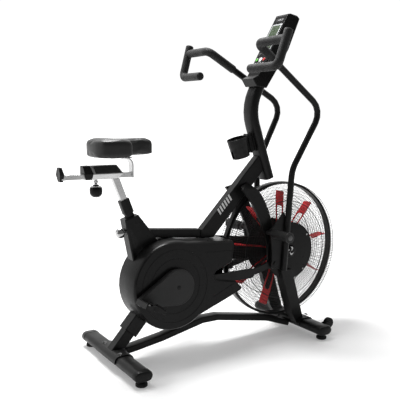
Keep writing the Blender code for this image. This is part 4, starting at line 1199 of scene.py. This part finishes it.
def stand_bolts(label, sign):
    """Two bolts with washers on a floor tube; sign is the way they lean along X."""
    heads = []
    washers = []
    out = Vector((sign * 0.35, 0.0, 1.0)).normalized()
    for y in (-BOLT_Y, BOLT_Y):
        spot = Vector((middle(f"{label}_stabilizer").x + sign * 0.012, y, STAND_TOP))
        washers.append(washer(spot, out, 0.0115))
        heads.append(screw_head(spot + out * 0.0012, out, 0.0078, 0.0052, 0.42))
    piece(f"{label}_bolts", heads, DARK_BOLT, "frame")
    piece(f"{label}_washers", washers, DARK_BOLT, "frame")


def peg_fittings(side, label):
    """A screw in the foot peg's end, and the ridges along its rubber."""
    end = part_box(f"foot_peg_{label}")[0 if side < 0 else 1].y
    profile = [(0.0125, 0.0), (0.0125, 0.0016), (0.0105, 0.0030), (0.0050, 0.0034), (0.0003, 0.0034)]
    screw = lathe((PIVOT.x, end - side * 0.0004, PIVOT.z), (0, side, 0), profile, 32)
    piece(f"peg_screw_{label}", [screw], DARK_BOLT, "frame")
    ridges = []
    for k in range(RIDGES):
        turn = 2 * pi * k / RIDGES
        x = PIVOT.x + PEG_R * cos(turn)
        z = PIVOT.z + PEG_R * sin(turn)
        line = [(x, end - side * 0.013, z), (x, end - side * 0.107, z)]
        ridges.append(sweep(line, [0.0008, 0.0008], 6))
    piece(f"peg_ridges_{label}", ridges, RUBBER, "frame")


stand_bolts("rear", -1)
stand_bolts("front", 1)
for side, label in SIDES:
    peg_fittings(side, label)


# ---- floor, light and camera ----
def studio_floor():
    """Pale and matt, and glowing far from the machine, where it meets the background."""
    f = Finish("studio_floor", specular=0.05)
    place = f.add("ShaderNodeSeparateXYZ")
    f.link(f.place, place.inputs["Vector"])
    away = f.add("ShaderNodeVectorMath", operation="LENGTH")
    f.link(f.place, away.inputs[0])
    glow = f.add("ShaderNodeMix")
    f.link(f.add("ShaderNodeLightPath").outputs["Is Camera Ray"], glow.inputs[0])
    f.link(f.spread(place.outputs["Y"], 0.20, 1.0, 0.8, 4.5), glow.inputs[2])
    f.link(f.spread(away.outputs["Value"], 0.22, 1.0, 1.5, 4.0), glow.inputs[3])
    f.link(glow.outputs[0], f.shader.inputs["Emission Strength"])
    colour = f.mix(f.spread(f.noise(0.8, 2.0), 0.0, 1.0), grey(0.80), grey(0.82))
    f.shader.inputs["Emission Color"].default_value = (1.0, 1.0, 1.0, 1.0)
    return f.done(colour, f.spread(f.noise(3.0), 0.75, 0.85))


WHITE_LIGHT = 1.05


def studio_world():
    """Light from the machine's left and front, and plain white for what the camera sees."""
    world = bpy.data.worlds.new("studio")
    world.use_nodes = True
    tree = world.node_tree
    background = tree.nodes["Background"]
    ways = tree.nodes.new("ShaderNodeTexCoord")
    share = tree.nodes.new("ShaderNodeVectorMath")
    share.operation = "DOT_PRODUCT"
    share.inputs[1].default_value = (0.4, 0.917, 0.0)
    bright = tree.nodes.new("ShaderNodeMapRange")
    set_range(bright, 0.18, WHITE_LIGHT, -0.25, 0.30)
    seen = tree.nodes.new("ShaderNodeMix")
    seen.inputs[3].default_value = WHITE_LIGHT
    rays = tree.nodes.new("ShaderNodeLightPath")
    tree.links.new(ways.outputs["Generated"], share.inputs[0])
    tree.links.new(share.outputs["Value"], bright.inputs["Value"])
    tree.links.new(rays.outputs["Is Camera Ray"], seen.inputs[0])
    tree.links.new(bright.outputs["Result"], seen.inputs[2])
    tree.links.new(seen.outputs[0], background.inputs["Strength"])
    background.inputs["Color"].default_value = (1.0, 1.0, 1.0, 1.0)
    bpy.context.scene.world = world


FLOOR_HALF = 30.0
FLOOR_CORNERS = [(-FLOOR_HALF, -FLOOR_HALF, 0), (FLOOR_HALF, -FLOOR_HALF, 0),
                 (FLOOR_HALF, FLOOR_HALF, 0), (-FLOOR_HALF, FLOOR_HALF, 0)]
floor = add_object("floor", (FLOOR_CORNERS, [(0, 1, 2, 3)]))
floor.data.materials.append(studio_floor())
studio_world()
bpy.context.scene.view_settings.view_transform = "Standard"
bpy.context.scene.view_settings.look = "None"


def softbox(name, place, aim, width, height, power):
    """An area light, aimed at a point."""
    lamp = bpy.data.lights.new(name, "AREA")
    lamp.shape = "RECTANGLE"
    lamp.size = width
    lamp.size_y = height
    lamp.energy = power
    item = bpy.data.objects.new(name, lamp)
    item.location = place
    item.rotation_mode = "QUATERNION"
    item.rotation_quaternion = (Vector(aim) - Vector(place)).to_track_quat("-Z", "Y")
    bpy.context.scene.collection.objects.link(item)


softbox("top_light", (-0.3, 0.9, 3.3), (0.0, 0.0, 0.6), 1.3, 1.3, 130.0)
softbox("left_light", (-3.4, 0.3, 1.9), (0.0, 0.0, 0.7), 1.0, 2.0, 12.0)

camera = bpy.data.cameras.new("camera")
camera.lens = 56.27
camera.sensor_width = 36.0
view = bpy.data.objects.new("camera", camera)
view.location = (-1.5574, -2.4213, 1.0684)
view.rotation_euler = (radians(82.47), 0.0, radians(-31.61))
bpy.context.scene.collection.objects.link(view)
bpy.context.scene.camera = view
